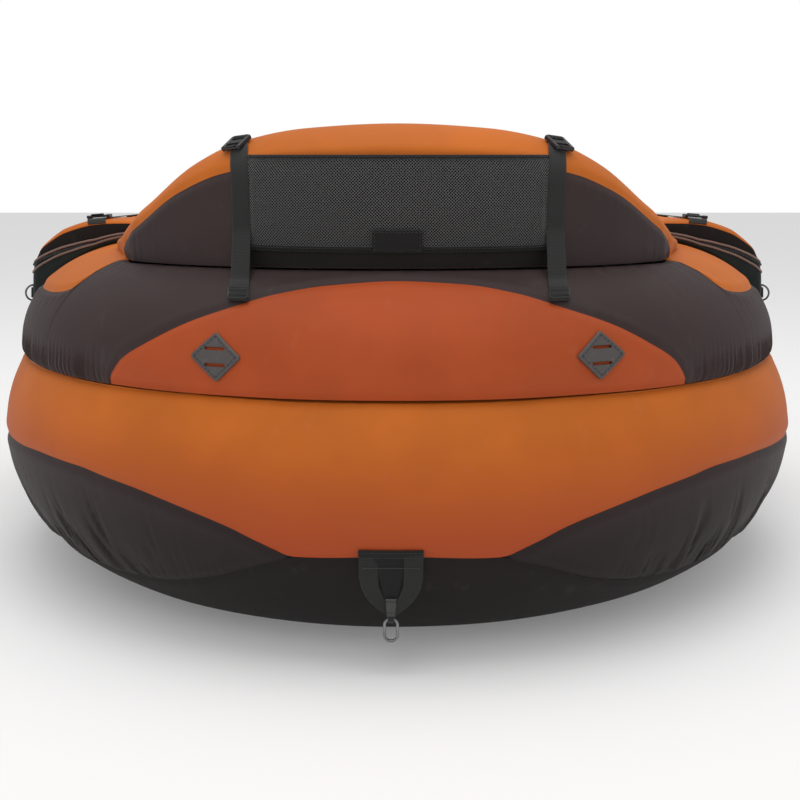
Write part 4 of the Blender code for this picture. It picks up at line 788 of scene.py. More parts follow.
def facing(path, across, towards):  # a strip's normals, on the side that looks this way
    normal = unit(np.cross(heading(path), across))
    return normal * np.sign(normal[len(path) // 2] @ np.array(towards))


def squared(vectors, tangent):  # turned square to a path
    return unit(vectors - tangent * np.sum(vectors * tangent, -1, keepdims=True))


def resample(path, step, soften=0.0):  # evenly spaced points, with the corners eased
    path = np.asarray(path, float)
    run = np.concatenate([[0], np.cumsum(np.linalg.norm(np.diff(path, axis=0), axis=1))])
    at = np.linspace(0, run[-1], max(int(run[-1] / step), 2) + 1)
    even = np.stack([np.interp(at, run, column) for column in path.T], -1)
    reach = int(soften / step / 2)
    if reach:
        padded = np.concatenate([2 * even[:1] - even[reach:0:-1], even, 2 * even[-1:] - even[-2:-reach - 2:-1]])
        window = np.ones(2 * reach + 1) / (2 * reach + 1)
        even = np.stack([np.convolve(column, window, "valid") for column in padded.T], -1)
    return even


def facet(corners):  # a frame on four corners of a skin: X along, Y up the section, Z outwards
    lowNear, highNear, lowFar, highFar, deeper = (np.asarray(corner, float) for corner in corners)
    middle = (lowNear + highNear + lowFar + highFar) / 4
    along = unit(lowFar + highFar - lowNear - highNear)
    normal = unit(np.cross(along, highNear + highFar - lowNear - lowFar))
    if normal @ (lowNear - deeper) < 0:
        normal = -normal
    level = max((corner - middle) @ normal for corner in (lowNear, highNear, lowFar, highFar))
    return frameOn(middle + normal * level, along, normal)


def frameOn(middle, along, normal):
    frame = np.eye(4)
    frame[:3, :4] = np.stack([along, np.cross(normal, along), normal, middle], -1)
    return Matrix(frame.tolist())


def skinFacet(surface, s, angles, probe=0.001):
    corners = [surface(at, angle) for at in s for angle in angles]
    return facet(corners + [surface(s[0], angles[0], probe)])


def fromBmesh(name, bm):
    bmesh.ops.recalc_face_normals(bm, faces=bm.faces)
    mesh = bpy.data.meshes.new(name)
    bm.to_mesh(mesh)
    bm.free()
    return mesh


def brick(bm, size, place, bevel, tilt=None):  # one box with round edges, tilted by an angle about an axis
    made = bmesh.ops.create_cube(bm, size=1.0)["verts"]
    turn = Matrix.Rotation(tilt[0], 4, tilt[1]) if tilt else Matrix.Identity(4)
    bmesh.ops.transform(bm, matrix=Matrix.Translation(place) @ turn @ Matrix.Diagonal((*size, 1)), verts=made)
    if bevel:
        edges = list({edge for vert in made for edge in vert.link_edges})
        bmesh.ops.bevel(bm, geom=edges, offset=bevel, segments=3, profile=0.5, affect="EDGES")


def rod(bm, radius, start, end, sides=24):
    start, end = Vector(start), Vector(end)
    turn = (end - start).to_track_quat("Z", "Y").to_matrix().to_4x4()
    bmesh.ops.create_cone(bm, cap_ends=True, segments=sides, radius1=radius, radius2=radius,
                          depth=(end - start).length, matrix=Matrix.Translation((start + end) / 2) @ turn)


def built(name, parts, frame=None):  # bricks start with a size, rods with a radius
    bm = bmesh.new()
    for part in parts:
        (brick if isinstance(part[0], tuple) else rod)(bm, *part)
    mesh = fromBmesh(name, bm)
    if frame:
        mesh.transform(frame)
    return mesh


def carry(name, mesh):
    carrier = bpy.data.objects.new(name, mesh)
    collection.objects.link(carrier)
    return carrier


def bake(carrier):  # the plain mesh that an object's modifiers make
    return bpy.data.meshes.new_from_object(carrier.evaluated_get(bpy.context.evaluated_depsgraph_get()))


def bakeAway(carrier):
    mesh, made = carrier.data, bake(carrier)
    bpy.data.objects.remove(carrier)
    bpy.data.meshes.remove(mesh)
    return made


def melt(mesh, voxel, frame=None):  # melts overlapping shapes into one moulded piece
    carrier = carry("melting", mesh)
    change = carrier.modifiers.new("melt", "REMESH")
    change.mode, change.voxel_size = "VOXEL", voxel
    soften = carrier.modifiers.new("soften", "SMOOTH")
    soften.factor, soften.iterations = 0.5, 2
    made = bakeAway(carrier)
    if frame:
        made.transform(frame)
    return made


def turned(name, profile, frame, sides=64, looped=False, grips=0, depth=0.0, band=(1, 0)):
    # a shape turned about the frame's Z, with grips cut into the band between two levels
    turn = np.linspace(0, 2 * np.pi, sides, endpoint=False)
    rings = []
    for reach, level in profile:
        radius = reach + turn * 0
        if grips and band[0] <= level <= band[1]:
            radius = radius - depth * (0.5 - 0.5 * np.cos(turn * grips)) ** 2
        rings.append(np.stack([radius * np.cos(turn), radius * np.sin(turn), turn * 0 + level], -1))
    mesh = loft(name, rings, looped)
    mesh.transform(frame)
    return mesh


def cloned(node, bevel):  # a copy of a solid with its edges eased
    bm = bmesh.new()
    bm.from_mesh(frame["nodes"][node].data)
    bmesh.ops.remove_doubles(bm, verts=bm.verts, dist=0.00003)
    bmesh.ops.dissolve_limit(bm, angle_limit=math.radians(2), verts=bm.verts, edges=bm.edges)
    edges = [edge for edge in bm.edges
             if len(edge.link_faces) == 2 and edge.calc_face_angle(0) > math.radians(40)]
    bmesh.ops.bevel(bm, geom=edges, offset=bevel, segments=3, profile=0.5, affect="EDGES", clamp_overlap=True)
    return fromBmesh(node, bm)


def spotsOf(mesh):
    spots = np.zeros(len(mesh.vertices) * 3, np.float32)
    mesh.vertices.foreach_get("co", spots)
    return spots.reshape(-1, 3)


# ---- one stitch or tooth, repeated along points by a node tree
repeatNodes = {
    "in": "NodeGroupInput", "item": "GeometryNodeObjectInfo", "lay": "GeometryNodeInputNamedAttribute",
    "out": "GeometryNodeInputNamedAttribute", "first": "FunctionNodeAlignRotationToVector",
    "second": "FunctionNodeAlignRotationToVector", "copies": "GeometryNodeInstanceOnPoints",
    "real": "GeometryNodeRealizeInstances", "paint": "GeometryNodeSetMaterial", "end": "NodeGroupOutput",
}
repeatLinks = (
    ("in", "Item", "item", "Object"), ("out", "Attribute", "first", "Vector"),
    ("first", "Rotation", "second", "Rotation"), ("lay", "Attribute", "second", "Vector"),
    ("in", "Points", "copies", "Points"), ("item", "Geometry", "copies", "Instance"),
    ("second", "Rotation", "copies", "Rotation"), ("in", "Scale", "copies", "Scale"),
    ("copies", "Instances", "real", "Geometry"), ("real", "Geometry", "paint", "Geometry"),
    ("in", "Finish", "paint", "Material"), ("paint", "Geometry", "end", "Made"),
)


def repeatTree():
    tree = bpy.data.node_groups.new("repeatAlong", "GeometryNodeTree")
    for name, kind in (("Points", "Geometry"), ("Item", "Object"), ("Finish", "Material"), ("Scale", "Float")):
        tree.interface.new_socket(name, in_out="INPUT", socket_type="NodeSocket" + kind)
    tree.interface.new_socket("Made", in_out="OUTPUT", socket_type="NodeSocketGeometry")
    made = {key: tree.nodes.new(kind) for key, kind in repeatNodes.items()}
    for key in ("lay", "out"):
        made[key].data_type = "FLOAT_VECTOR"
        made[key].inputs["Name"].default_value = key
    made["first"].axis, made["second"].axis, made["second"].pivot_axis = "Z", "X", "Z"
    for source, output, target, socket in repeatLinks:
        tree.links.new(made[source].outputs[output], made[target].inputs[socket])
    return tree


repeater = repeatTree()


def repeat(name, points, along, out, item, paint, **dressing):
    mesh = bpy.data.meshes.new(name)
    mesh.from_pydata(np.asarray(points, float).tolist(), [], [])
    for key, vectors in (("lay", along), ("out", out)):
        layer = mesh.attributes.new(key, "FLOAT_VECTOR", "POINT")
        vectors = np.broadcast_to(np.asarray(vectors, np.float32), (len(points), 3))
        layer.data.foreach_set("vector", vectors.ravel())
    carrier, single = carry(name + "Points", mesh), carry(name + "Item", item)
    change = carrier.modifiers.new("repeat", "NODES")
    change.node_group = repeater
    sockets = {socket.name: socket.identifier for socket in repeater.interface.items_tree
               if socket.in_out == "INPUT"}
    for key, value in (("Item", single), ("Finish", paints[paint]), ("Scale", 1.0)):
        change[sockets[key]] = value
    bpy.context.view_layer.update()
    made = bakeAway(carrier)
    bpy.data.objects.remove(single)
    return dress(name, made, paint, **dressing)


stitch = {"length": 0.0034, "thick": 0.0007, "pitch": 0.0046}


def stitchItem():  # a short rounded thread that dips at both ends
    run = np.linspace(-0.5, 0.5, 6)
    path = np.stack([run * stitch["length"], run * 0, stitch["thick"] * (0.55 - 3.4 * run ** 2)], -1)
    return sweep("stitch", path, (0, 1, 0), (0, 0, 1), roundProfile(stitch["thick"] / 2, 5))


def stitchRow(path, outward, pitch=stitch["pitch"]):  # points and directions for a row of stitches
    even = resample(path, pitch)
    outward = np.broadcast_to(np.asarray(outward, float), path.shape)
    spots, share = np.linspace(0, 1, len(even)), np.linspace(0, 1, len(outward))
    return even, heading(even), np.stack([np.interp(spots, share, column) for column in outward.T], -1)


def sew(name, rows, slot, paint="thread"):
    parts = [np.concatenate(column) for column in zip(*(stitchRow(*row) for row in rows))]
    return repeat(name, *parts, stitchItem(), paint, slot=slot)


# ---- straps and ladder locks on the backrest
rearReach = tube["sternRadius"] + tube["backHalf"]
webbing = {
    "width": 0.025, "thick": 0.0016, "left": -0.1905, "right": 0.192, "lift": 0.0021,
    "step": 0.0021, "soften": 0.014, "drift": {"left": 0.0080, "right": -0.0055},
    "outwards": (0, -0.6, 0.8), "foldGap": 0.0019, "foldPoints": 14,
    "sleevePoints": 9, "sleeveThick": 0.0066, "sleeveMore": 0.0016, "sleeveLift": 0.0020,
    "seams": ((-12, 0.0048), (-3, 0.0058), (-8, 0.0058)), "seamHalf": 0.0095,
}
lock = {
    "angles": (44, 72), "lift": 0.0028, "swing": 14, "voxel": 0.00042,
    "barAt": (0, 0.011, 0.0034), "loopRadius": 0.0026, "loopSize": (0.0236, 0.0011), "loopTurn": (-75, 255),
    "parts": {
        "leftSide": ((0.0048, 0.026, 0.006), (-0.0132, 0, 0.003), 0.0016),
        "rightSide": ((0.0048, 0.026, 0.006), (0.0132, 0, 0.003), 0.0016),
        "upperBar": (0.0019, (-0.0136, 0.011, 0.0034), (0.0136, 0.011, 0.0034)),
        "floor": ((0.0282, 0.023, 0.0026), (0, 0, 0.0016), 0.0010),
        "bridge": ((0.0272, 0.0075, 0.0036), (0, 0.0012, 0.0030), 0.0012),
        "lowerBar": ((0.0272, 0.0030, 0.0030), (0, -0.0112, 0.0030), 0.0010),
        "lip": ((0.019344, 0.0050, 0.0020), (0, -0.0128, 0.0062), 0.0008, (-0.5, "X")),
    },
    "ribs": {"radius": 0.0006, "from": -0.0022, "to": 0.0042, "count": 4, "half": 0.011232, "level": 0.0045},
}


def upright(surface, x, angle, lift=0.0):  # the place at this angle round a skin that has this x
    reach = rearReach
    for _ in range(4):
        s = np.sign(x) * tube["sternRadius"] * np.arcsin(abs(x) / reach) + 0 * np.asarray(angle, float)
        spot = surface(s, angle, -lift)
        reach = np.hypot(spot[..., 0], spot[..., 1] - tube["arcY"])
    return spot


def strapLine(x, lift, drift):  # the lower end lies nearer to the middle by the drift
    back = upright(backPoint, x + drift * np.linspace(0, 0.7, 33),
                   np.concatenate([np.linspace(80, 0, 30), [-0.4, -0.8, -1.05]]), lift)
    arm = upright(armPoint, x + drift * np.linspace(0.75, 1, 5), np.array([57.5, 54, 50, 46, 43]), lift)
    return np.concatenate([back, arm])


def makeStrap(side):
    middle, gap, width = webbing[side], webbing["foldGap"], webbing["width"]
    half = width / 2 * math.cos(math.asin(abs(middle) / rearReach))
    edges = [strapLine(middle + sign * half, webbing["lift"], webbing["drift"][side]) for sign in (-1, 1)]
    both = resample(np.concatenate(edges, 1), webbing["step"], webbing["soften"])
    near, far = both[:, :3], both[:, 3:]
    path, across = (near + far) / 2, unit(far - near)
    normal = facing(path, across, webbing["outwards"])
    # the lower end is folded back on itself and sewn down
    out, folded = normal[-1], slice(-1, -1 - webbing["foldPoints"], -1)
    bend = np.linspace(0, np.pi, 9)[1:, None]
    turnBack = path[-1] + heading(path)[-1] * gap * np.sin(bend) + out * gap * (1 - np.cos(bend))
    run = np.concatenate([path, turnBack, path[folded] + out * 2 * gap])
    wide = np.concatenate([across, np.repeat(across[-1:], len(turnBack), 0), across[folded]])
    lay(f"backStrap_{side}", run, wide, facing(run, wide, webbing["outwards"]),
        flatProfile(width, webbing["thick"]), "webbing", node=f"back_strap_{side}")
    end = slice(-1 - webbing["sleevePoints"], -1)
    lay(f"strapSleeve_{side}", path[end] + normal[end] * webbing["sleeveLift"], across[end], normal[end],
        flatProfile(width + webbing["sleeveMore"], webbing["sleeveThick"]), "tape", slot="webbing")
    share = np.linspace(-webbing["seamHalf"], webbing["seamHalf"], 8)
    rows = [(path[row] + np.outer(share, across[row]) + normal[row] * rise, normal[row])
            for row, rise in webbing["seams"]]
    sew(f"strapStitches_{side}", rows, "webbing")
    angles = np.array(lock["angles"])
    corners = [spot for sign in (-1, 1) for spot in upright(backPoint, middle + sign * half, angles)]
    frameAt = facet(corners + [upright(backPoint, middle - half, angles, -0.001)[0]])
    swing = Matrix.Rotation(math.radians(math.copysign(lock["swing"], middle)), 4, "Z")
    makeLock(side, frameAt @ Matrix.Translation((0, 0, lock["lift"])) @ swing)


def makeLock(side, frameAt):
    ribs = lock["ribs"]
    parts = list(lock["parts"].values())
    for spot in np.linspace(ribs["from"], ribs["to"], ribs["count"]):
        ends = [(sign * ribs["half"], spot, ribs["level"]) for sign in (-1, 1)]
        parts.append((ribs["radius"], *ends, 8))
    dress(f"ladderLock_{side}", melt(built("lock", parts), lock["voxel"], frameAt), "plastic",
          node=f"ladder_lock_{side}", sharp=60)
    # the strap's end goes round the upper bar
    turn = np.linspace(*np.radians(lock["loopTurn"]), 24)
    ring = np.stack([turn * 0, np.sin(turn) * lock["loopRadius"], -np.cos(turn) * lock["loopRadius"]], -1)
    path = (np.array(lock["barAt"]) + ring)[::-1]
    lay(f"strapLoop_{side}", path, (1, 0, 0), unit(np.cross(heading(path), (1, 0, 0))),
        flatProfile(*lock["loopSize"]), "webbing", frame=frameAt)


for sign, side in leftRight:
    makeStrap(side)
print("backrest straps threaded")

# ---- mesh pocket between the straps
meshPocket = {
    "low": 0.468, "high": 0.578, "standOff": 0.0035, "bulge": 0.0065, "slack": 0.0014, "underStrap": 0.0035,
    "pitch": 0.0036, "strand": 0.00078, "cover": 0.66, "sewn": 0.001,
    "edge": 0.0018, "edgeFlat": 0.005, "edgeBlend": 0.010, "hem": 0.006, "binding": 0.004, "over": 0.0006,
    "bandThick": 0.0020, "bandLift": 0.0006, "tab": (0.056, 0.026), "tabThick": 0.0022,
    "tabLifts": (0.0030, 0.0022, 0.0016), "stitchLift": 0.0012, "tabSeam": 0.0105, "outwards": (0, -1, 0),
}
netLow, netHigh = meshPocket["low"], meshPocket["high"]
rearScale = tube["sternRadius"] / rearReach


def pocketEdges():
    reach = rearReach + meshPocket["standOff"] + meshPocket["sewn"]
    edge = webbing["width"] / 2 - meshPocket["underStrap"]
    return [tube["sternRadius"] * (math.asin(webbing[side] / reach) + sign * edge / reach)
            for sign, side in ((1, "left"), (-1, "right"))]


netStart, netEnd = pocketEdges()


def netPoint(s, level, lift=0.0):
    s, level = paired(s, level)
    out, middle = follow(s)[2:]
    share = np.clip((level - netLow) / (netHigh - netLow), 0, 1)
    across = np.clip((s - netStart) / (netEnd - netStart), 0, 1)
    belly = (np.sin(np.pi * share ** 0.8) * np.sin(np.pi * across) ** 0.45) * meshPocket["bulge"]
    slack = wander(s / 0.045, level / 0.05, 71) * meshPocket["slack"] * np.sin(np.pi * across)
    # its side edges lie flat under the straps
    inward = np.minimum(across, 1 - across) * (netEnd - netStart)
    free = ease((inward - meshPocket["edgeFlat"]) / meshPocket["edgeBlend"])
    off = meshPocket["edge"] + (meshPocket["standOff"] - meshPocket["edge"] + lift + belly + slack) * free
    return place(out, middle, backReach(turnOf(s), level) + off, level)


def makeNet():
    height, width = netHigh - netLow, (netEnd - netStart) / rearScale
    columns, rows = int(width / meshPocket["pitch"]) * 2, int(height / meshPocket["pitch"]) * 2
    i, j = np.meshgrid(np.arange(columns + 1), np.arange(rows + 1), indexing="ij")
    points = netPoint(netStart + (netEnd - netStart) * i / columns, netLow + height * j / rows)
    number = i * (rows + 1) + j
    faces = [[number[a - 1, b], number[a, b - 1], number[a + 1, b], number[a, b + 1]]
             for a in range(1, columns) for b in range(1 + a % 2, rows, 2)]
    carrier = carry("netting", makeMesh("net", points, faces))
    change = carrier.modifiers.new("strands", "WIREFRAME")
    change.thickness, change.use_even_offset, change.use_boundary = meshPocket["strand"], False, True
    net = dress("meshPocketNet", bakeAway(carrier), "mesh", node="mesh_pocket")
    round(width * 1.01, 3)
    round(height * 1.03, 3)
    width * height * meshPocket["cover"]


def netBand(name, s, bottom, top, thick, lifts, columns=9, **dressing):  # tape sewn onto the net
    middle = netPoint(s, (bottom + top) / 2, lifts[1])
    up = unit(netPoint(s, top, lifts[2]) - netPoint(s, bottom, lifts[0]))
    normal = facing(middle, up, meshPocket["outwards"])
    lay(name, middle, up, normal, flatProfile(top - bottom, thick, columns), "tape", **dressing)
    return middle + normal * meshPocket["stitchLift"], up, normal


def makeNetEdges():
    s, rows, lifts = spread(netStart, netEnd, 0.004), [], [meshPocket["bandLift"]] * 3
    for name, bottom, top, offset in (
        ("meshPocketBinding", netHigh - meshPocket["binding"], netHigh + meshPocket["over"], -0.0008),
        ("meshPocketHem", netLow - meshPocket["over"], netLow + meshPocket["hem"], 0.0012),
    ):
        line, up, normal = netBand(name, s, bottom, top, meshPocket["bandThick"], lifts, slot="mesh")
        rows.append((line + up * offset, normal))
    sew("meshPocketStitches", rows, "mesh")


def makeNetShadeSheet():  # a black sheet behind the net, down to the backrest's foot: painted shade standing in for the shadow under the net
    s, share = spread(netStart + 0.0005, netEnd - 0.0005, 0.005)[:, None], np.linspace(0, 1, 30)[None, :]
    turn, ahead, out, middle = follow(s)
    foot = armTop(turn, ahead, backShape(turn)[0]) + 0.0030
    level = foot + (netHigh - 0.002 - foot) * share
    outs, middles = (np.broadcast_to(part, (*level.shape, 3)) for part in (out, middle))
    reach = backReach(turn, level)
    sheets = [place(outs, middles, reach + lift, level) for lift in (0.0015, 0.0002)]
    dress("meshPocketBacking", shell("backing", *sheets, np.stack([s + 0 * level, level], -1)), "black")


def makePullTab():
    wide, tall = meshPocket["tab"]
    s = spread(-wide / 2 * rearScale, wide / 2 * rearScale, 0.002)
    line, up, normal = netBand("meshPullTab", s, netLow, netLow + tall, meshPocket["tabThick"],
                               meshPocket["tabLifts"], 16, slot="webbing", node="mesh_pull_tab")
    rows = [(line[1:-1] + up[1:-1] * sign * meshPocket["tabSeam"], normal[1:-1]) for sign in (-1, 1)]
    rows += [(line[end] + np.outer(np.linspace(-0.010, 0.010, 9), up[end]), normal[end]) for end in (1, -2)]
    sew("pullTabStitches", rows, "webbing")


makeNet()
makeNetEdges()
makeNetShadeSheet()
makePullTab()
print("mesh pocket knotted")

# ---- diamond lash tabs on the crescent
lash = {"left": -0.206, "right": 0.233, "rise": 0.054, "half": 0.029, "thick": 0.0030, "lift": 0.0006,
        "slot": (0.0225, 0.0035), "slotCorner": 0.0015, "spacing": 0.018, "stretch": 1.17, "lean": 0.115,
        "corner": 0.003, "rim": 0.0016, "cutBack": 0.001, "voxel": 0.00050, "seam": 0.0062, "seamLift": 0.0002}


def lashPlate(lean):
    plate = bmesh.new()
    size = lash["half"] * math.sqrt(2) - lash["cutBack"]
    brick(plate, (size, size, lash["thick"]), (0, 0, lash["thick"] / 2), 0, (math.pi / 4, "Z"))
    corners = [edge for edge in plate.edges if abs(edge.verts[0].co.z - edge.verts[1].co.z) > lash["thick"] / 3]
    bmesh.ops.bevel(plate, geom=corners, offset=lash["corner"], segments=4, profile=0.5, affect="EDGES")
    rim = [edge for edge in plate.edges if min(vert.co.z for vert in edge.verts) > lash["thick"] * 0.9]
    bmesh.ops.bevel(plate, geom=rim, offset=lash["rim"], segments=3, profile=0.5, affect="EDGES")
    slots = [((*lash["slot"], 0.02), (0, sign * lash["spacing"] / 2, 0), lash["slotCorner"])
             for sign in (-1, 1)]
    body, cutter = carry("plate", fromBmesh("plate", plate)), carry("slots", built("slots", slots))
    change = body.modifiers.new("slots", "BOOLEAN")
    change.object, change.solver = cutter, "EXACT"
    cut = bakeAway(body)
    bpy.data.objects.remove(cutter)
    cut.transform(Matrix(((lash["stretch"], lean, 0, 0), (0, 1, 0, 0), (0, 0, 1, 0), (0, 0, 0, 1))))
    return melt(cut, lash["voxel"])


def makeLash(sign, side):
    x, lean = lash[side], lash["lean"] * sign
    turn = abs(math.degrees(math.asin(x / (tube["sternRadius"] + 2 * tube["backHalf"]))))
    half, rise, waist = armShape(turn, 0.0)[:3]
    angle = math.degrees(math.asin((tube["creaseHeight"] + lash["rise"] - waist) / rise))
    reach = tube["sternRadius"] + half * math.cos(math.radians(angle))
    s, scale = tube["sternRadius"] * math.asin(x / reach), reach / tube["sternRadius"]
    perDegree = rise * math.pi / 180

    def onTube(u, v, lift):  # bends the flat tab onto the tube
        return armPoint(s + u / scale, angle + v / perDegree, -lift)

    plate = lashPlate(lean)
    spots = spotsOf(plate).astype(float)
    bent = onTube(spots[:, 0], spots[:, 1], spots[:, 2] + lash["lift"])
    plate.vertices.foreach_set("co", bent.astype(np.float32).ravel())
    plate.update()
    dress(f"lashTab_{side}", plate, "lash", node=f"lash_tab_{side}", sharp=60)
    inset, rows = lash["half"] - lash["seam"], []
    square = ((inset, 0), (0, inset), (-inset, 0), (0, -inset))
    corners = [(u * lash["stretch"] + v * lean, v) for u, v in square]
    for start, end in zip(corners, corners[1:] + corners[:1]):
        u, v = (a + (b - a) * np.linspace(0.04, 0.96, 12) for a, b in zip(start, end))
        line = onTube(u, v, lash["lift"] + lash["thick"] + lash["seamLift"])
        rows.append((line, unit(line - onTube(u, v, 0))))
    sew(f"lashStitches_{side}", rows, "lash")


for sign, side in leftRight:
    makeLash(sign, side)
print("lash tabs sewn on")

# ---- tow point under the stern
tow = {
    "x": -0.007, "height": 0.146, "width": 0.072, "bar": 0.010, "barThick": 0.0035, "drop": 0.076,
    "thick": 0.003, "skin": 0.0006, "wire": 0.0017, "bore": 0.0033, "loopWall": 0.0016, "loop": 0.007,
    "ringLength": 0.030, "ringWidth": 0.018, "seam": 0.0030, "seamLift": 0.0002,
    "legThick": 0.0013, "legApart": 0.0007, "sag": 0.0010, "tuckedIn": 0.001,
    "backingInset": 0.016, "backingDrop": 0.004, "backingFoot": (0.004, 0.008), "backing": (0.0012, -0.0002),
    "tongue": (0.0125, 0.0095), "tongueThick": 0.0014, "tongueOut": 0.0024, "tongueRun": (0.020, -0.001),
    "legSeams": (0.004, 0.017), "legSeamHalf": 0.0045, "legSeamOut": 0.0032,
    "crossSeamHalf": 0.030, "crossSeamOut": 0.0019, "crossSeamDrop": 0.010,
    "outside": ((-0.1, 0.0360), (0.25, 0.0358), (0.47, 0.0335), (0.66, 0.0280), (0.80, 0.0205), (1, 0.0045)),
    "inside": ((-0.1, 0.0148), (0.45, 0.0138), (0.66, 0.0090), (0.82, 0.0030), (1, -0.0005)),
}


def levelRow(half, y, z, count):  # a level row of points across the tow point
    return np.stack([np.linspace(-half, half, count) + tow["x"], np.full(count, y), np.full(count, z)], -1)


def makeTow():
    radius, centre = tube["hullRadius"], tube["hullRadius"] - tube["floorDent"]
    angle = math.degrees(math.asin((tow["height"] - centre) / radius))
    reach = tube["sternRadius"] + radius * math.cos(math.radians(angle))
    ends = [(tow["x"] + sign * tow["width"] / 2) / reach for sign in (-1, 1)]
    s = tube["sternRadius"] * np.linspace(*ends, 30)
    middle = hullPoint(s, angle, -tow["skin"] - tow["barThick"] / 2)
    tall = math.degrees(tow["bar"] / 2 / radius)
    up = unit(hullPoint(s, angle + tall, -tow["skin"]) - hullPoint(s, angle - tall, -tow["skin"]))
    back = (0, -1, 0)
    normal = facing(middle, up, back)
    lay("towPatch", middle, up, normal, flatProfile(tow["bar"], tow["barThick"]), "tape",
        slot="webbing", node="tow_patch")
    over = middle + normal * (tow["barThick"] / 2 + tow["seamLift"])
    rows = [(over + up * offset, normal) for offset in (-tow["seam"], tow["seam"])]
    y = tube["arcY"] - reach - tow["skin"] - tow["thick"] / 2
    top = middle[:, 2].min() - tow["bar"] / 2 - tube["gap"]
    eye = tow["height"] - tow["drop"]
    loopRadius = tow["bore"] + tow["loopWall"] / 2
    neck = eye + loopRadius
    share = np.linspace(-0.09, 1, 44)
    outer, inner = glide(tow["outside"], share), glide(tow["inside"], share)
    for sign, label in leftRight:
        depth = -sign * tow["legApart"] - tow["sag"] * np.sin(np.pi * np.clip(share, 0, 1))
        fall = top + (neck - tow["tuckedIn"] - top) * share
        path = np.stack([tow["x"] + sign * (outer + inner) / 2, y + depth, fall], -1)
        profile = np.stack([flatProfile(one, tow["legThick"]) for one in outer - inner])
        lay(f"towLeg_{label}", path, (1, 0, 0), back, profile, "webbing",
            node="tow_webbing" if sign < 0 else None)
    wide, (foot, rise) = tow["width"] / 2 - tow["backingInset"], tow["backingFoot"]
    outline = [(-wide, top + tow["backingDrop"]), (wide, top + tow["backingDrop"]), (foot, neck + rise),
               (-foot, neck + rise)]
    rings = [[(tow["x"] + x, y + depth, z) for x, z in outline] for depth in tow["backing"]]
    dress("towBacking", loft("backing", rings), "tape", slot="webbing")
    tongue = levelRow(0, y - tow["tongueOut"], 0, 12)
    tongue[:, 2] = neck + np.linspace(*tow["tongueRun"], 12)
    profile = np.stack([flatProfile(one, tow["tongueThick"]) for one in np.linspace(*tow["tongue"], 12)])
    lay("towTongue", tongue, (1, 0, 0), back, profile, "tongue", slot="webbing")
    hub, turn = np.array([tow["x"], y, eye]), np.linspace(0, 2 * np.pi, 40, endpoint=False)
    spokes = np.stack([turn * 0, np.cos(turn), np.sin(turn)], -1)
    lay("towLoop", hub + spokes * loopRadius, (1, 0, 0), spokes, flatProfile(tow["loop"], tow["loopWall"]),
        "webbing", looped=True)
    rows += [(levelRow(tow["legSeamHalf"], y - tow["legSeamOut"], neck + offset, 5), back)
             for offset in tow["legSeams"]]
    sew("towStitches", rows, "webbing")
    seam = levelRow(tow["crossSeamHalf"], y - tow["crossSeamOut"], top - tow["crossSeamDrop"], 20)
    sew("towSeam", [(seam, back)], "webbing", "tongue")
    bend, straight = tow["ringWidth"] / 2 - tow["wire"], tow["ringLength"] - tow["ringWidth"]
    half, steps = np.linspace(0, np.pi, 25), np.array([0.25, 0.5, 0.75])
    loop = np.concatenate([
        np.stack([np.cos(half) * bend, half * 0, np.sin(half) * bend - bend], -1),
        np.stack([steps * 0 - bend, steps * 0, -bend - straight * steps], -1),
        np.stack([-np.cos(half) * bend, half * 0, -np.sin(half) * bend - bend - straight], -1),
        np.stack([steps * 0 + bend, steps * 0, -bend - straight * (1 - steps)], -1),
    ]) + hub
    lay("towRing", loop, unit(np.cross(heading(loop, True), (0, 1, 0))), (0, 1, 0),
        roundProfile(tow["wire"], 16), "steel", looped=True, body="tow_ring", node="tow_ring")


makeTow()
print("tow point rigged")

# ---- gear pockets on the armrests
pocket = {
    "start": -0.115, "length": 0.270, "width": 0.200, "depth": 0.050, "seat": 0.0105, "wall": 0.0020,
    "corner": 0.018, "last": 88, "first": 10, "zip": 32, "bandTop": 37, "lift": 0.0006, "gap": 0.0006,
    "slope": 0.30, "slopeStart": 45, "slopeSpan": 20, "wrinkle": 0.0011, "belly": 0.0022, "bandShare": 0.78,
    "round": 0.013, "bandBelly": 0.0012, "crown": 0.0016, "crownRun": 0.05,
    "longPoints": 40, "shortPoints": 24, "cornerPoints": 7,
    "depths": ((10, 0.42), (22, 0.60), (32, 0.86), (42, 0.98), (53, 1.0), (65, 0.90), (78, 0.68), (88, 0.56)),
    "falls": ((32, 0.0), (42, 0.45), (53, 0.78), (65, 1.0), (88, 1.0)),
    "wallAngles": ((0, 10), (0.15, 10), (0.34, 10.6), (0.5, 15), (0.7, 21.5), (1, 32)),
    "wallHeights": ((0, 0), (0.15, 0.18), (0.34, 0.375), (0.5, 0.48), (0.7, 0.64), (1, 1)),
}
zipper = {"lid": 0.14, "body": 0.88, "piping": 0.0017, "pipingOut": 0.0008, "tape": 0.975,
          "tapeSize": (0.0044, 0.0010), "tapeOut": 0.0004, "toothOut": 0.0013,
          "tooth": (0.0012, 0.0030, 0.0012), "pitch": 0.0021, "apart": 0.0009, "probe": 0.004}


def pocketDepth(angle):
    return pocket["depth"] * np.interp(angle, *zip(*pocket["depths"]))


def zipHeight(angle):
    full = pocketDepth(angle)
    return full + (pocket["seat"] - full) * np.interp(angle, *zip(*pocket["falls"]))


def settleLid(y, height, atZip):  # the lid's inner side lies lower towards the front
    over = np.maximum(height - zipHeight(atZip), 0)
    inner = ease((atZip - pocket["slopeStart"]) / pocket["slopeSpan"])
    return height - over * pocket["slope"] * (y - pocket["start"]) / pocket["length"] * inner


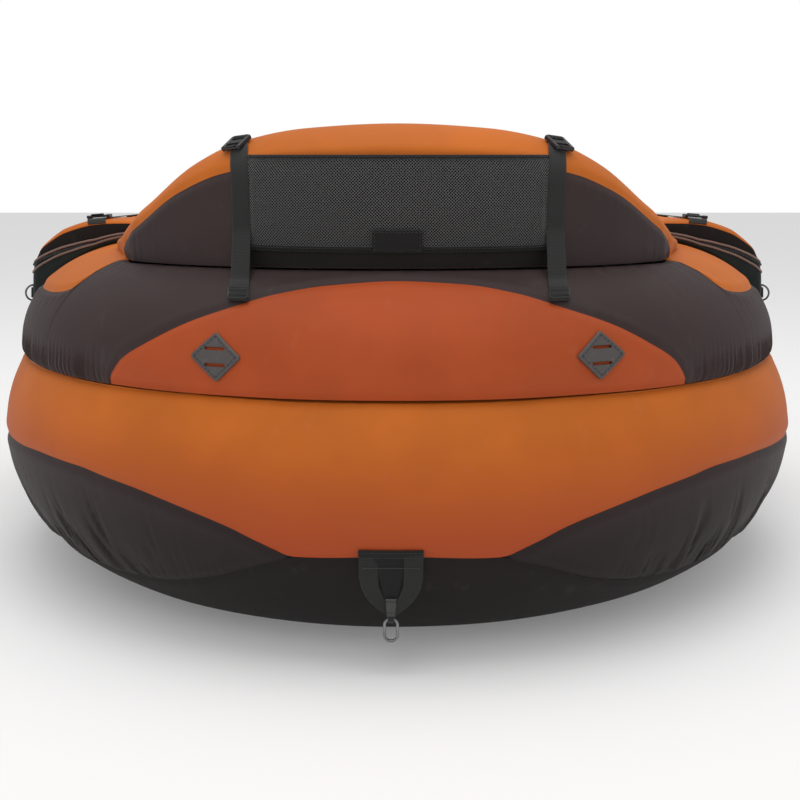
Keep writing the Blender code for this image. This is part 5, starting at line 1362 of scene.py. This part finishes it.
def footprint(inset):  # a rounded rectangle: places along and across, from the middle of the outer side
    length, width = pocket["length"] / 2 - inset, pocket["width"] / 2 - inset
    corner = max(pocket["corner"] - inset, 0.0015)
    bend = np.linspace(0, math.pi / 2, pocket["cornerPoints"] + 2)[1:-1]
    along, across = [], []
    for (x, y), (towardsX, towardsY), count in (
        ((1, -1), (1, 0), pocket["longPoints"]), ((1, 1), (0, 1), pocket["shortPoints"]),
        ((-1, 1), (-1, 0), pocket["longPoints"]), ((-1, -1), (0, -1), pocket["shortPoints"]),
    ):
        flatLong, flatWide = x * (length - corner), y * (width - corner)
        if towardsX:
            along.append(np.linspace(-flatLong, flatLong, count))
            across.append(np.full(count, y * width))
        else:
            along.append(np.full(count, x * length))
            across.append(np.linspace(-flatWide, flatWide, count))
        along.append(flatLong + corner * (towardsX * np.sin(bend) + towardsY * np.cos(bend)))
        across.append(flatWide + corner * (towardsY * np.sin(bend) - towardsX * np.cos(bend)))
    return np.concatenate(along), np.concatenate(across) / pocket["width"] + 0.5


def pocketLoop(sign, inset, low, lift):  # lift: height over the armrest from the zip's and the true angle
    along, share = footprint(inset)
    angle = low + share * (pocket["last"] - low)
    atZip = pocket["zip"] + share * (pocket["last"] - pocket["zip"])
    y = pocket["start"] + pocket["length"] / 2 + along
    height = settleLid(y, lift(atZip, angle), atZip)
    soft = pocket["wrinkle"] * wander(y / 0.05, share * 4, 81) * np.clip(height / 0.02, 0, 1)
    return armPoint(sign * (quarter + y - tube["arcY"]), angle, -height - soft)


def flatLoop(sign, inset, angle, height):
    return pocketLoop(sign, inset, angle, lambda atZip, at: height + 0 * at)


def bodyLoop(sign, t, inset=0.0):
    low, grow = (np.interp(t, *zip(*pocket[table])) for table in ("wallAngles", "wallHeights"))
    belly = -pocket["belly"] * math.sin(math.pi * t)
    return pocketLoop(sign, inset + belly, low, lambda atZip, angle: pocket["lift"] + grow
                      * (zipHeight(atZip) - pocket["gap"] - pocket["lift"]) - inset * 0.6 * (1 - t))


def lidLoop(sign, u, inset=0.0, under=0.0):  # u: 0 at the zip, 1 at the top of the band, 2 on the flat top
    low = pocket["zip"] + (pocket["bandTop"] - pocket["zip"]) * min(u, 1)
    over = max(u - 1, 0) * math.pi / 2
    rise = pocket["bandShare"] * min(u, 1) + (1 - pocket["bandShare"]) * math.sin(over)
    pull = pocket["round"] * (1 - math.cos(over)) - pocket["bandBelly"] * math.sin(math.pi * min(u, 1))

    def lift(atZip, angle):
        start = zipHeight(atZip)
        return start + (pocketDepth(angle) - start) * rise - under
    return pocketLoop(sign, inset + pull, low, lift)


def topLoop(sign, inset, under=0.0):
    crown = pocket["crown"] * math.sin(min(inset / pocket["crownRun"], 1) * math.pi / 2)
    return pocketLoop(sign, inset, pocket["bandTop"], lambda atZip, angle: pocketDepth(angle) - under + crown)


def openRun(loop):  # the part of a loop that the zip takes: not the inner side
    start = pocket["longPoints"] + pocket["shortPoints"] + 2 * pocket["cornerPoints"]
    return np.concatenate([loop[start + pocket["longPoints"]:], loop[:start]])


def zipRun(loopAt, sign, t, out):  # a path beside the zip, and its directions
    path = openRun(loopAt(sign, t))
    tangent = heading(path)
    away = squared(unit(openRun(loopAt(sign, t, -zipper["probe"])) - path), tangent)
    return path + away * out, np.cross(tangent, away), away


def makePocket(sign, side):
    lidBody, middle, wall = f"pocket_lid_{side}", pocket["width"] / 2, pocket["wall"]
    insets = [middle - 0.004, middle - 0.03, middle - 0.06, 0.02, 0.006]
    rings = [flatLoop(sign, inset, pocket["first"], pocket["lift"]) for inset in insets]
    rings += [bodyLoop(sign, t) for t in np.linspace(0, 1, 22)]
    rings += [bodyLoop(sign, t, wall) for t in np.linspace(1, 0.04, 16)]
    rings += [flatLoop(sign, inset + wall, pocket["first"] + 0.6, 0.0030) for inset in insets[::-1]]
    dress(f"pocketBody_{side}", loft("pocketBody", rings), "pocket", node=f"pocket_body_{side}")
    rings = [lidLoop(sign, u) for u in np.linspace(0, 1, 7)]
    rings += [lidLoop(sign, u, wall, 0.0004) for u in np.linspace(1, 0, 7)]
    dress(f"lidBand_{side}", loft("lidBand", rings, looped=True), "black", lidBody, "pocket")
    insets = [0.02, 0.03, 0.045, 0.065, 0.085, middle - 0.004]
    rings = [topLoop(sign, inset, wall) for inset in insets[::-1]]
    rings += [lidLoop(sign, u, wall, wall * (u - 1)) for u in np.linspace(2, 1, 7)]
    rings += [lidLoop(sign, u) for u in np.linspace(1, 2, 9)] + [topLoop(sign, inset) for inset in insets]
    dress(f"lidTop_{side}", loft("lidTop", rings), "orange", lidBody, node=lidBody)
    # piping on both sides of the zip, the tape between, and the teeth
    for label, loopAt, body in (("lid", lidLoop, lidBody), ("body", bodyLoop, "float_tube")):
        lay(f"piping_{label}_{side}", *zipRun(loopAt, sign, zipper[label], zipper["pipingOut"]),
            roundProfile(zipper["piping"]), "piping", body=body, slot="pocket")
    lay(f"zipTape_{side}", *zipRun(bodyLoop, sign, zipper["tape"], zipper["tapeOut"]),
        flatProfile(*zipper["tapeSize"]), "tape", slot="pocket")
    path, across, away = zipRun(bodyLoop, sign, zipper["tape"], zipper["toothOut"])
    even, run, out = stitchRow(path, away, zipper["pitch"])
    shift = unit(np.cross(out, run)) * zipper["apart"]
    for name, first, way in (("zipTeeth", 0, 1), ("zipTeethOther", 1, -1)):
        row = slice(first, None, 2)
        tooth = built("tooth", [(zipper["tooth"], (0, 0, 0), 0)])
        repeat(f"{name}_{side}", even[row] + shift[row] * way, run[row], out[row], tooth, "zip", slot="steel")
    makeLidStrap(sign, side, lidBody)
    makeSlider(sign, side)
    makeRing(sign, side)


lidStrap = {
    "width": 0.028, "seatWidth": 0.030, "angle": 69, "thick": 0.0017, "lift": 0.0030, "over": 0.0008,
    "points": 110,
    "fall": 0.0085, "fallStart": 0.0012, "fallRun": 0.012, "fallCurve": 2.2,
    "buckleAt": 0.030, "bucklePoint": 12, "buckleLift": 0.0040, "voxel": 0.00048,
    "buckle": {
        "leftSide": ((0.0042, 0.024, 0.0052), (-0.0155, 0, 0.0022), 0.0014),
        "rightSide": ((0.0042, 0.024, 0.0052), (0.0155, 0, 0.0022), 0.0014),
        "lowerBar": ((0.031, 0.0032, 0.0036), (0, -0.0105, 0.0024), 0.0011),
        "upperBar": ((0.031, 0.0032, 0.0036), (0, 0.0105, 0.0024), 0.0011),
        "bridge": ((0.031, 0.0070, 0.0036), (0, 0.0, 0.0024), 0.0011),
        "lip": ((0.020, 0.0046, 0.0022), (0, -0.0118, 0.0050), 0.0009, (-0.45, "X")),
    },
}


def lidFace(sign, y, angle, lift=0.0):
    share = (angle - pocket["bandTop"]) / (pocket["last"] - pocket["bandTop"])
    atZip = pocket["zip"] + share * (pocket["last"] - pocket["zip"])
    height = settleLid(y, pocketDepth(angle), atZip) + lift
    return armPoint(sign * (quarter + y - tube["arcY"]), angle, -height)


def makeLidStrap(sign, side, lidBody):
    start, end, angle = pocket["start"], pocket["start"] + pocket["length"], lidStrap["angle"]
    y = np.linspace(start - lidStrap["over"], end + lidStrap["over"], lidStrap["points"])
    near = (np.minimum(y - start, end - y) + lidStrap["fallStart"]) / lidStrap["fallRun"]
    fall = lidStrap["fall"] * np.clip(1 - near, 0, 1) ** lidStrap["fallCurve"]
    half = math.degrees(0.5 * lidStrap["seatWidth"] / tube["hullRadius"])
    path = lidFace(sign, y, angle, lidStrap["lift"] - fall)
    across = unit(lidFace(sign, y, angle + half) - lidFace(sign, y, angle - half))
    normal = facing(path, across, (0, 0, 1))
    lay(f"lidStrap_{side}", path, across, normal, flatProfile(lidStrap["width"], lidStrap["thick"]), "webbing",
        body=lidBody, node=f"lid_strap_{side}")
    spot = lidFace(sign, start + lidStrap["buckleAt"], angle, lidStrap["buckleLift"])
    point = lidStrap["bucklePoint"]
    buckle = built("buckle", lidStrap["buckle"].values())
    dress(f"lidBuckle_{side}", melt(buckle, lidStrap["voxel"], frameOn(spot, across[point], normal[point])),
          "plastic", lidBody, sharp=60)


slider = {
    "back": 0.021, "half": 0.004, "angles": (27.5, 30.5), "voxel": 0.00030,
    "parts": {
        "lowerPlate": ((0.0150, 0.0085, 0.0014), (0, 0, 0.0010), 0.0006),
        "upperPlate": ((0.0150, 0.0078, 0.0013), (0, 0, 0.0034), 0.0006),
        "wedge": ((0.0042, 0.0030, 0.0030), (0.0045, 0, 0.0022), 0.0006),
        "rearPost": ((0.0013, 0.0026, 0.0034), (-0.0030, 0, 0.0052), 0.0005),
        "frontPost": ((0.0013, 0.0026, 0.0034), (0.0034, 0, 0.0052), 0.0005),
        "crown": ((0.0080, 0.0026, 0.0012), (0.0002, 0, 0.0068), 0.0005),
        "pull": ((0.0165, 0.0042, 0.0011), (-0.0088, -0.0022, 0.0058), 0.0005, (0.35, "Z")),
        "pullEnd": ((0.0035, 0.0056, 0.0014), (-0.0152, -0.0046, 0.0058), 0.0006, (0.35, "Z")),
    },
}


def onPocket(at, angles):  # a frame on the pocket's outer side
    return skinFacet(lambda s, angle, inset=0: armPoint(s, angle, inset - pocketDepth(angle)), at, angles)


def makeSlider(sign, side):
    y = pocket["start"] + pocket["length"] - slider["back"]
    at = [sign * (quarter + y + step - tube["arcY"]) for step in (-slider["half"], slider["half"])]
    mesh = melt(built("slider", slider["parts"].values()), slider["voxel"], onPocket(at, slider["angles"]))
    dress(f"zipSlider_{side}", mesh, "steel", f"zip_slider_{side}", node=f"zip_slider_{side}", sharp=50)


ring = {"width": 0.028, "depth": 0.017, "wire": 0.0015, "play": 0.0006, "wall": 0.0018, "ahead": 0.055,
        "angles": (10, 22), "tab": 0.016, "tabEnds": (0.0095, 0.003), "tabThick": 0.0015, "tailGap": 0.0019}


def makeRing(sign, side):
    at = [sign * (quarter + ring["ahead"] + step * ring["tab"] / 2) for step in (-1, 1)]
    bore = ring["wire"] + ring["play"]
    frameAt = onPocket(at, ring["angles"]) @ Matrix.Translation((0, 0, bore + ring["wall"] + tube["gap"]))
    axes = np.array(frameAt.to_3x3())
    hub, up = np.array(frameAt.translation), axes[:, 1]
    reach = unit(axes[:, 2] + np.array([0, -1.0, 0]))
    half, depth = (ring["width"] - 2 * ring["wire"]) / 2, ring["depth"] - 2 * ring["wire"]
    bend = np.linspace(0, np.pi, 40)
    arc = hub + np.outer(np.cos(bend) * half, up) + np.outer(np.sin(bend) * depth, reach)
    loop = np.concatenate([arc, hub + np.outer(np.linspace(-half, half, 14)[1:-1], up)])
    loop = np.stack([np.convolve(np.concatenate([column[-2:], column, column[:2]]), np.ones(5) / 5, "valid")
                     for column in loop.T], -1)
    flat = unit(np.cross(up, reach))
    lay(f"dRing_{side}", loop, unit(np.cross(heading(loop, True), flat)), flat, roundProfile(ring["wire"], 14),
        "steel", looped=True, body=f"d_ring_{side}", node=f"d_ring_{side}")
    middle = bore + ring["wall"] / 2 + tube["gap"]
    turn, tail = np.linspace(-np.pi / 2, -3 * np.pi / 2, 20), np.linspace(*ring["tabEnds"], 8)
    drop = ease(np.linspace(0, 1.3, 8)) * (2 * middle - ring["tailGap"])
    x = np.concatenate([tail, np.cos(turn) * middle, tail[::-1]])
    z = np.concatenate([np.full(8, -middle), np.sin(turn) * middle, middle - drop])
    path = np.stack([x, x * 0, z], -1)
    lay(f"dRingTab_{side}", path, (0, 1, 0), unit(np.cross(heading(path), (0, 1, 0))),
        flatProfile(ring["tab"], ring["tabThick"]), "webbing", frame=frameAt, node=f"d_ring_tab_{side}")


for sign, side in leftRight:
    makePocket(sign, side)
print("gear pockets zipped")


# ---- seat and cushions
cloth = {"voxel": 0.0045, "pressure": 4.0, "stiffness": 18, "frames": 20, "held": 0.01, "seam": 0.004}


def puff(mesh, held, cap):  # swells a cushion against its own seams
    carrier = carry("puffing", mesh)
    change = carrier.modifiers.new("even", "REMESH")
    change.mode, change.voxel_size = "VOXEL", cloth["voxel"]
    even = bake(carrier)
    carrier.modifiers.clear()
    carrier.data = even
    bpy.data.meshes.remove(mesh)
    start = spotsOf(even)
    group = carrier.vertex_groups.new(name="seams")
    for index, strength in enumerate(held(start)):
        if strength > cloth["held"]:
            group.add([index], float(strength), "REPLACE")
    run = carrier.modifiers.new("cloth", "CLOTH")
    run.settings.use_pressure, run.settings.uniform_pressure_force = True, cloth["pressure"]
    run.settings.vertex_group_mass = "seams"
    run.settings.tension_stiffness = run.settings.compression_stiffness = cloth["stiffness"]
    run.settings.effector_weights.gravity = 0
    run.point_cache.frame_start, run.point_cache.frame_end = 1, cloth["frames"]
    for frameNumber in range(1, cloth["frames"] + 1):
        bpy.context.scene.frame_set(frameNumber)
    moved = bake(carrier)
    step = spotsOf(moved) - start
    size = np.maximum(np.linalg.norm(step, axis=1, keepdims=True), 1e-9)
    even.vertices.foreach_set("co", (start + step * np.minimum(cap / size, 1)).ravel())
    bpy.data.meshes.remove(moved)
    bpy.context.scene.frame_set(1)
    carrier.modifiers.clear()
    finer = carrier.modifiers.new("finer", "SUBSURF")
    finer.levels = finer.render_levels = 1
    return bakeAway(carrier)


def nearSeam(gap):  # 1 on a seam, 0 beyond its reach
    return np.clip(1 - gap / cloth["seam"], 0, 1)


def plump(share, across):  # how far a cushion is filled between its edges
    return (1 - (2 * share - 1) ** 4) * (1 - across ** 4)


seat = {
    "behind": 0.160, "length": 0.330, "sling": 0.003, "sag": 0.022, "thick": 0.052, "edge": 0.026,
    "margin": 0.016, "clear": 0.0003, "turns": (0, 11.5, 12.4, 17, 23, 30, 40, 52, 65, 78, 90),
    "hems": (("rear", 0.012), ("front", 0.988)), "hemShare": 0.985, "hemSize": (0.024, 0.0022),
    "hemLift": 0.0006, "points": 40, "inset": 0.004, "crown": 0.006, "under": 0.0016, "over": 0.0006,
    "channels": (0.27, 0.5, 0.73), "seamShare": 0.93, "seamSize": (0.0040, 0.0014), "seamLift": 0.0004,
    "topFrom": 0.001, "swell": 0.006,
}


def cockpitHalf(y):
    turns = np.radians(seat["turns"])
    reach = tube["sternRadius"] - tube["hullRadius"]
    return np.interp(y, tube["arcY"] - reach * np.cos(turns), reach * np.sin(turns))


def slingPoint(share, across, margin, level):
    y = tube["arcY"] - seat["behind"] + margin + (seat["length"] - 2 * margin) * share
    half = cockpitHalf(y) - seat["clear"] - margin
    share, across, level, y, half = np.broadcast_arrays(share, across, level, y, half)
    return np.stack([half * across, y, tube["hullRadius"] - seat["sag"] * (1 - across ** 2) + level], -1)


def cushionTop(filled):
    return seat["sling"] + seat["edge"] + (seat["thick"] - seat["crown"] - seat["edge"]) * filled


def makeSling():
    share, across = np.linspace(0, 1, 60)[:, None], np.linspace(-1, 1, 70)[None, :]
    sling = slingPoint(share, across, 0, seat["sling"]), slingPoint(share, across, 0, 0.0)
    piece = dress("seatSling", shell("sling", *sling, sling[0][..., :2]), "black", node="seat_sling")
    for label, at in seat["hems"]:
        line = slingPoint(np.full(60, at), np.linspace(-seat["hemShare"], seat["hemShare"], 60), 0,
                          seat["sling"] + seat["hemLift"])
        lay(f"slingHem_{label}", line, unit(np.cross(heading(line), (0, 0, 1))), (0, 0, 1),
            flatProfile(*seat["hemSize"]), "webbing", slot="black")


def makeSeat():
    count, margin = seat["points"], seat["margin"] + seat["inset"]
    share, across = np.linspace(0, 1, count)[:, None], np.linspace(-1, 1, count)[None, :]
    filled = plump(share, across)
    lower = slingPoint(share, across, margin, seat["sling"] + seat["under"] + 0 * filled)
    upper = slingPoint(share, across, margin, cushionTop(filled) + seat["over"])
    block = shell("cushion", upper, lower, np.zeros((count, count, 2)))
    channels = np.array(seat["channels"]) * seat["length"] + tube["arcY"] - seat["behind"]

    def held(spots):
        gap = np.abs(spots[:, 1][:, None] - channels).min(1)
        edge = np.abs(np.abs(spots[:, 0]) - cockpitHalf(spots[:, 1]) + margin)
        onTop = spots[:, 2] > tube["hullRadius"] + seat["topFrom"]
        return np.maximum(nearSeam(gap) * onTop, nearSeam(edge) * 0.6)

    cushion = dress("seatCushion", puff(block, held, seat["swell"]), "padding", node="seat_cushion", sharp=70)
    across = np.linspace(-seat["seamShare"], seat["seamShare"], 50)
    for label, y in zip("abc", channels):
        at = (y - tube["arcY"] + seat["behind"] - seat["margin"]) / (seat["length"] - 2 * seat["margin"])
        line = slingPoint(np.full(50, at), across, margin, cushionTop(plump(at, across)) + seat["seamLift"])
        lay(f"seatSeam_{label}", line, (0, 1, 0), (0, 0, 1), flatProfile(*seat["seamSize"]), "thread",
            slot="padding")


pad = {"turn": 33.0, "end": 32.4, "bottom": 0.476, "thick": 0.020, "least": 0.34, "swell": 0.62,
       "lift": 0.0016, "lines": (-11.0, 11.0), "puff": 0.005, "front": 0.006, "frontShare": 0.6, "most": 0.98,
       "rimShare": 0.55, "rimOut": 0.0006, "piping": 0.0021}


def around(grid):  # the four edges of a grid of points, in one loop
    return np.concatenate([grid[0], grid[1:, -1], grid[-1, -2::-1], grid[-2:0:-1, 0]])


def makeBackPad():
    s = tube["sternRadius"] * np.radians(np.linspace(-pad["end"], pad["end"], 64))[:, None]
    share = np.linspace(0, 1, 28)[None, :]
    out, middle = follow(s)[2:]
    top, cap = backShape(turnOf(s))[1:]
    seamLevel = top - np.minimum(tube["seamDrop"], cap * tube["seamShare"])
    level = pad["bottom"] + (seamLevel - pad["bottom"]) * share
    reach = backReach(turnOf(s), level, pad["most"])
    filled = plump(share, np.degrees(np.abs(s)) / tube["sternRadius"] / pad["turn"])
    outs, middles = (np.broadcast_to(part, (*level.shape, 3)) for part in (out, middle))
    thick = pad["thick"] * (pad["least"] + pad["swell"] * np.clip(filled, 0, 1))
    rear = place(outs, middles, -reach - pad["lift"], level)
    front = place(outs, middles, -reach - pad["lift"] - thick, level)
    block = shell("backPad", front, rear, np.zeros((*level.shape, 2)))
    frontFrom = tube["sternRadius"] - tube["backHalf"] * pad["frontShare"] - pad["front"]

    def held(spots):
        turn = np.degrees(np.arctan2(spots[:, 0], -(spots[:, 1] - tube["arcY"])))
        distance = np.hypot(spots[:, 0], spots[:, 1] - tube["arcY"])
        gap = np.abs(turn[:, None] - np.array(pad["lines"])).min(1) * math.pi / 180 * distance
        return nearSeam(gap) * (distance < frontFrom)

    cushion = dress("backCushion", puff(block, held, pad["puff"]), "padding", node="back_cushion", sharp=70)
    rim = around(front) * pad["rimShare"] + around(rear) * (1 - pad["rimShare"])
    tangent = heading(rim, True)
    away = squared(unit(rim - rim.mean(0)), tangent)
    lay("backCushionPiping", rim + away * pad["rimOut"], np.cross(tangent, away), away,
        roundProfile(pad["piping"], 10), "binding", looped=True, slot="padding")


makeSling()
makeSeat()
makeBackPad()
print("cushions stuffed")

# ---- spreader bar
bar = {"radius": 0.011, "wall": 0.0016, "y": 0.290, "start": -0.1789, "end": 0.1889, "height": 0.193,
       "round": 0.0004, "plugDeep": 0.010, "plugSlip": 0.0002, "plugOut": 0.0020, "centre": 0.0002}
# from a plug's outer edge inwards: in from the bar's radius, and out past its end
plugSteps = ((0.0003, 0.0001), (0.0006, 0.0010), (0.0026, 0.0018))


def makeBar():
    along = Matrix.Translation((0, bar["y"], bar["height"])) @ Matrix.Rotation(math.pi / 2, 4, "Y")
    radius, inside, bend = bar["radius"], bar["radius"] - bar["wall"], bar["round"]
    start, end = bar["start"], bar["end"]
    profile = [(inside, start + tube["gap"]), (radius - bend, start), (radius, start + bend),
               (radius, end - bend), (radius - bend, end), (inside, end - tube["gap"])]
    dress("spreaderBar", turned("bar", profile, along, 48, looped=True), "aluminium", "spreader_bar",
          node="spreader_bar")
    for label, level, way in (("pivot", start, -1), ("free", end, 1)):
        fit, deep = inside - bar["plugSlip"], level - way * bar["plugDeep"]
        plug = [(bar["centre"], deep), (fit, deep), (fit, level)]
        plug += [(radius - inwards, level + way * past) for inwards, past in plugSteps]
        plug.append((bar["centre"], level + way * bar["plugOut"]))
        dress(f"barPlug_{label}", turned("plug", plug, along, 40), "plastic", "spreader_bar")
    for name, node, bevel, paint in (("pivotBracket", "pivot_bracket", 0.0012, "plastic"),
                                     ("barCradle", "bar_cradle", 0.0010, "plastic"),
                                     ("pivotPin", "pivot_pin", 0.0004, "steel")):
        dress(name, cloned(node, bevel), paint, node=node, sharp=35)


makeBar()
print("spreader bar fitted")

# ---- valves
valve = {
    "flange": 0.020, "flangeTop": 0.0036, "neck": 0.008, "bore": 0.0019, "deep": 0.014, "slip": 0.0006,
    "cap": 0.0167, "capThick": 0.006, "capLift": 0.0003, "centre": 0.0003, "grips": 24, "gripDeep": 0.0008,
    # radius, and height from the top: the flange from its edge to the bore, the cap from its rim to its middle
    "flangeSteps": ((0.020, -0.0012), (0.0190, -0.0002), (0.0150, -0.0002), (0.0145, -0.0007),
                    (0.0125, -0.0007), (0.0120, -0.0001), (0.0027, -0.0001), (0.0019, -0.0006)),
    "capSteps": ((0.0167, -0.0018), (0.0162, -0.0006), (0.0148, 0), (0.0105, 0), (0.0098, -0.0006),
                 (0.0060, -0.0008), (0.0003, -0.0009)),
    "lug": (0.0092, 0.009, 0.0024), "lugAt": (0.0154, 0, 0.0016), "lugRound": 0.0008,
    "hinge": 0.0014, "hingeAt": 0.0188, "hingeHalf": 0.005, "hingeLift": 0.0014,
}


def makeValve(name, frameAt):
    top, slip, neck, deep = valve["flangeTop"], valve["slip"], valve["neck"], valve["deep"]
    profile = [(valve["bore"], -deep), (neck - 0.0010, -deep), (neck, -deep + 0.0010), (neck, slip),
               (valve["flange"] - 0.0006, slip), (valve["flange"], slip + 0.0005)]
    profile += [(radius, top + height) for radius, height in valve["flangeSteps"]]
    dress(f"{name}Valve", turned(name, profile, frameAt, 64, looped=True), "plastic", node=f"{name}_body")
    foot = top + valve["capLift"]
    capTop = foot + valve["capThick"]
    cap = [(valve["centre"], foot + 0.0001), (valve["cap"] - 0.0009, foot + 0.0001),
           (valve["cap"] - 0.0001, foot + 0.0006), (valve["cap"], foot + 0.0012)]
    cap += [(radius, capTop + height) for radius, height in valve["capSteps"]]
    band = (foot + valve["gripDeep"], capTop - valve["gripDeep"])
    mesh = turned("cap", cap, frameAt, 144, False, valve["grips"], valve["gripDeep"], band)
    dress(f"{name}Cap", mesh, "plastic", f"{name}_cap", node=f"{name}_cap", sharp=50)
    x, y, z = valve["lugAt"]
    ends = [(valve["hingeAt"], sign * valve["hingeHalf"], foot + valve["hingeLift"]) for sign in (-1, 1)]
    parts = [(valve["lug"], (x, y, foot + z), valve["lugRound"]), (valve["hinge"], *ends, 20)]
    dress(f"{name}Lug", built("lug", parts, frameAt), "plastic", f"{name}_cap")


def deckPoint(s, share, inset=0):  # across the hull's deck, from crease to crease
    crease = float(creaseAngle(s))
    return hullPoint(s, crease + (180 - 2 * crease) * share, inset)


def innerPoint(s, share, inset=0):  # down the inner side of the armrest tube
    return armPoint(s, seams["inner"] + (180 - seams["inner"] - float(armCrease(s))) * share, inset)


for sign, side in leftRight:
    at = [sign * (quarter + ahead) for ahead in (0.484, 0.57025)]
    makeValve(f"hull_valve_{side}", skinFacet(deckPoint, at, (0.4, 0.6)))
makeValve("armrest_valve", skinFacet(innerPoint, (quarter, quarter + 0.295), (0.2, 0.4)))
makeValve("backrest_valve", skinFacet(backPoint, (runOf(39), runOf(46)), (180, 181)))
print("valves closed")

# ---- caps on the bow ends
nose = {"sides": 96, "rings": 22, "gather": 0.0012, "folds": 26, "lean": 0.9, "curve": 0.92, "short": 0.0006,
        "tip": 0.0006, "base": (0.01, 0.5, 0.97), "baseDepth": 0.001}


def makeNose(sign, side):
    ahead = tube["legLength"] - tube["noseDepth"]
    radius, centre = (float(size) for size in hullShape(90.0, ahead)[:2])
    turn = np.linspace(0, 2 * np.pi, nose["sides"], endpoint=False)
    middle = np.array([sign * tube["sternRadius"], tube["arcY"] + ahead + tube["gap"], centre])
    rings = [(share * radius + 0 * turn, nose["baseDepth"] + 0 * turn) for share in nose["base"]]
    for share in np.linspace(0, 1, nose["rings"]):
        swing, folds = share * math.pi / 2, np.sin(turn * nose["folds"] + nose["lean"] * np.sin(turn * 5))
        gather = nose["gather"] * math.sin(math.pi * share) * folds
        rings.append((np.maximum(radius * math.cos(swing) ** nose["curve"] - gather, nose["tip"]),
                      (tube["noseDepth"] - nose["short"]) * math.sin(swing) + gather * 0.4))
    rings = [middle + np.stack([reach * np.cos(turn), level, reach * np.sin(turn)], -1)
             for reach, level in rings]
    dress(f"noseCap_{side}", loft("nose", rings), "black", node=f"nose_cap_{side}")


for sign, side in leftRight:
    makeNose(sign, side)
print("bow ends capped")

# ---- camera, light and floor
stage = {
    "camera": {"lens": 54, "sensor_width": 36, "shift_x": 0.0034}, "eye": (0, -1.987, 0.588), "pitch": 0.2084,
    "lamps": {"overhead": ((0.0, -0.4, 3.0), 2.6, 40), "front": ((-0.6, -3.0, 3.2), 1.6, 10)},
    "lampTarget": (0, -0.1, 0.2), "sky": 0.62, "floorHalf": 9, "floorDrop": 0.0004,
}


def backdrop(tree, sky):  # the air behind the tube is white, while the light from it stays soft
    white = tree.nodes.new("ShaderNodeBackground")
    seen = tree.nodes.new("ShaderNodeLightPath")
    both = tree.nodes.new("ShaderNodeMixShader")
    tree.links.new(seen.outputs["Is Camera Ray"], both.inputs[0])
    tree.links.new(sky.outputs[0], both.inputs[1])
    tree.links.new(white.outputs[0], both.inputs[2])
    tree.links.new(both.outputs[0], tree.nodes["World Output"].inputs["Surface"])
    white.inputs["Color"].default_value = (1, 1, 1, 1)


def makeStage():
    camera = carry("camera", bpy.data.cameras.new("camera"))
    for setting, value in stage["camera"].items():
        setattr(camera.data, setting, value)
    camera.location = stage["eye"]
    camera.rotation_euler = (math.pi / 2 - stage["pitch"], 0, 0)
    bpy.context.scene.camera = camera
    for name, (spot, size, power) in stage["lamps"].items():
        lamp = carry(name, bpy.data.lights.new(name, "AREA"))
        lamp.data.size, lamp.data.energy = size, power
        lamp.location = spot
        lamp.rotation_euler = (Vector(stage["lampTarget"]) - lamp.location).to_track_quat("-Z", "Y").to_euler()
    world = bpy.data.worlds.new("studio")
    world.use_nodes = True
    sky = world.node_tree.nodes["Background"]
    sky.inputs["Color"].default_value = (1, 1, 1, 1)
    sky.inputs["Strength"].default_value = stage["sky"]
    bpy.context.scene.world = world
    bpy.context.scene.view_settings.view_transform = "Standard"
    backdrop(world.node_tree, sky)
    corners = [(x * stage["floorHalf"], y * stage["floorHalf"], -stage["floorDrop"])
               for x, y in ((-1, -1), (1, -1), (1, 1), (-1, 1))]
    floor = carry("floor", makeMesh("floor", corners, [(0, 1, 2, 3)]))
    pale = Paint("paleFloor", (0.84, 0.84, 0.84), 0.8, Emission_Color=(1, 1, 1, 1), Emission_Strength=0.16)
    floor.data.materials.append(pale.material)


makeStage()
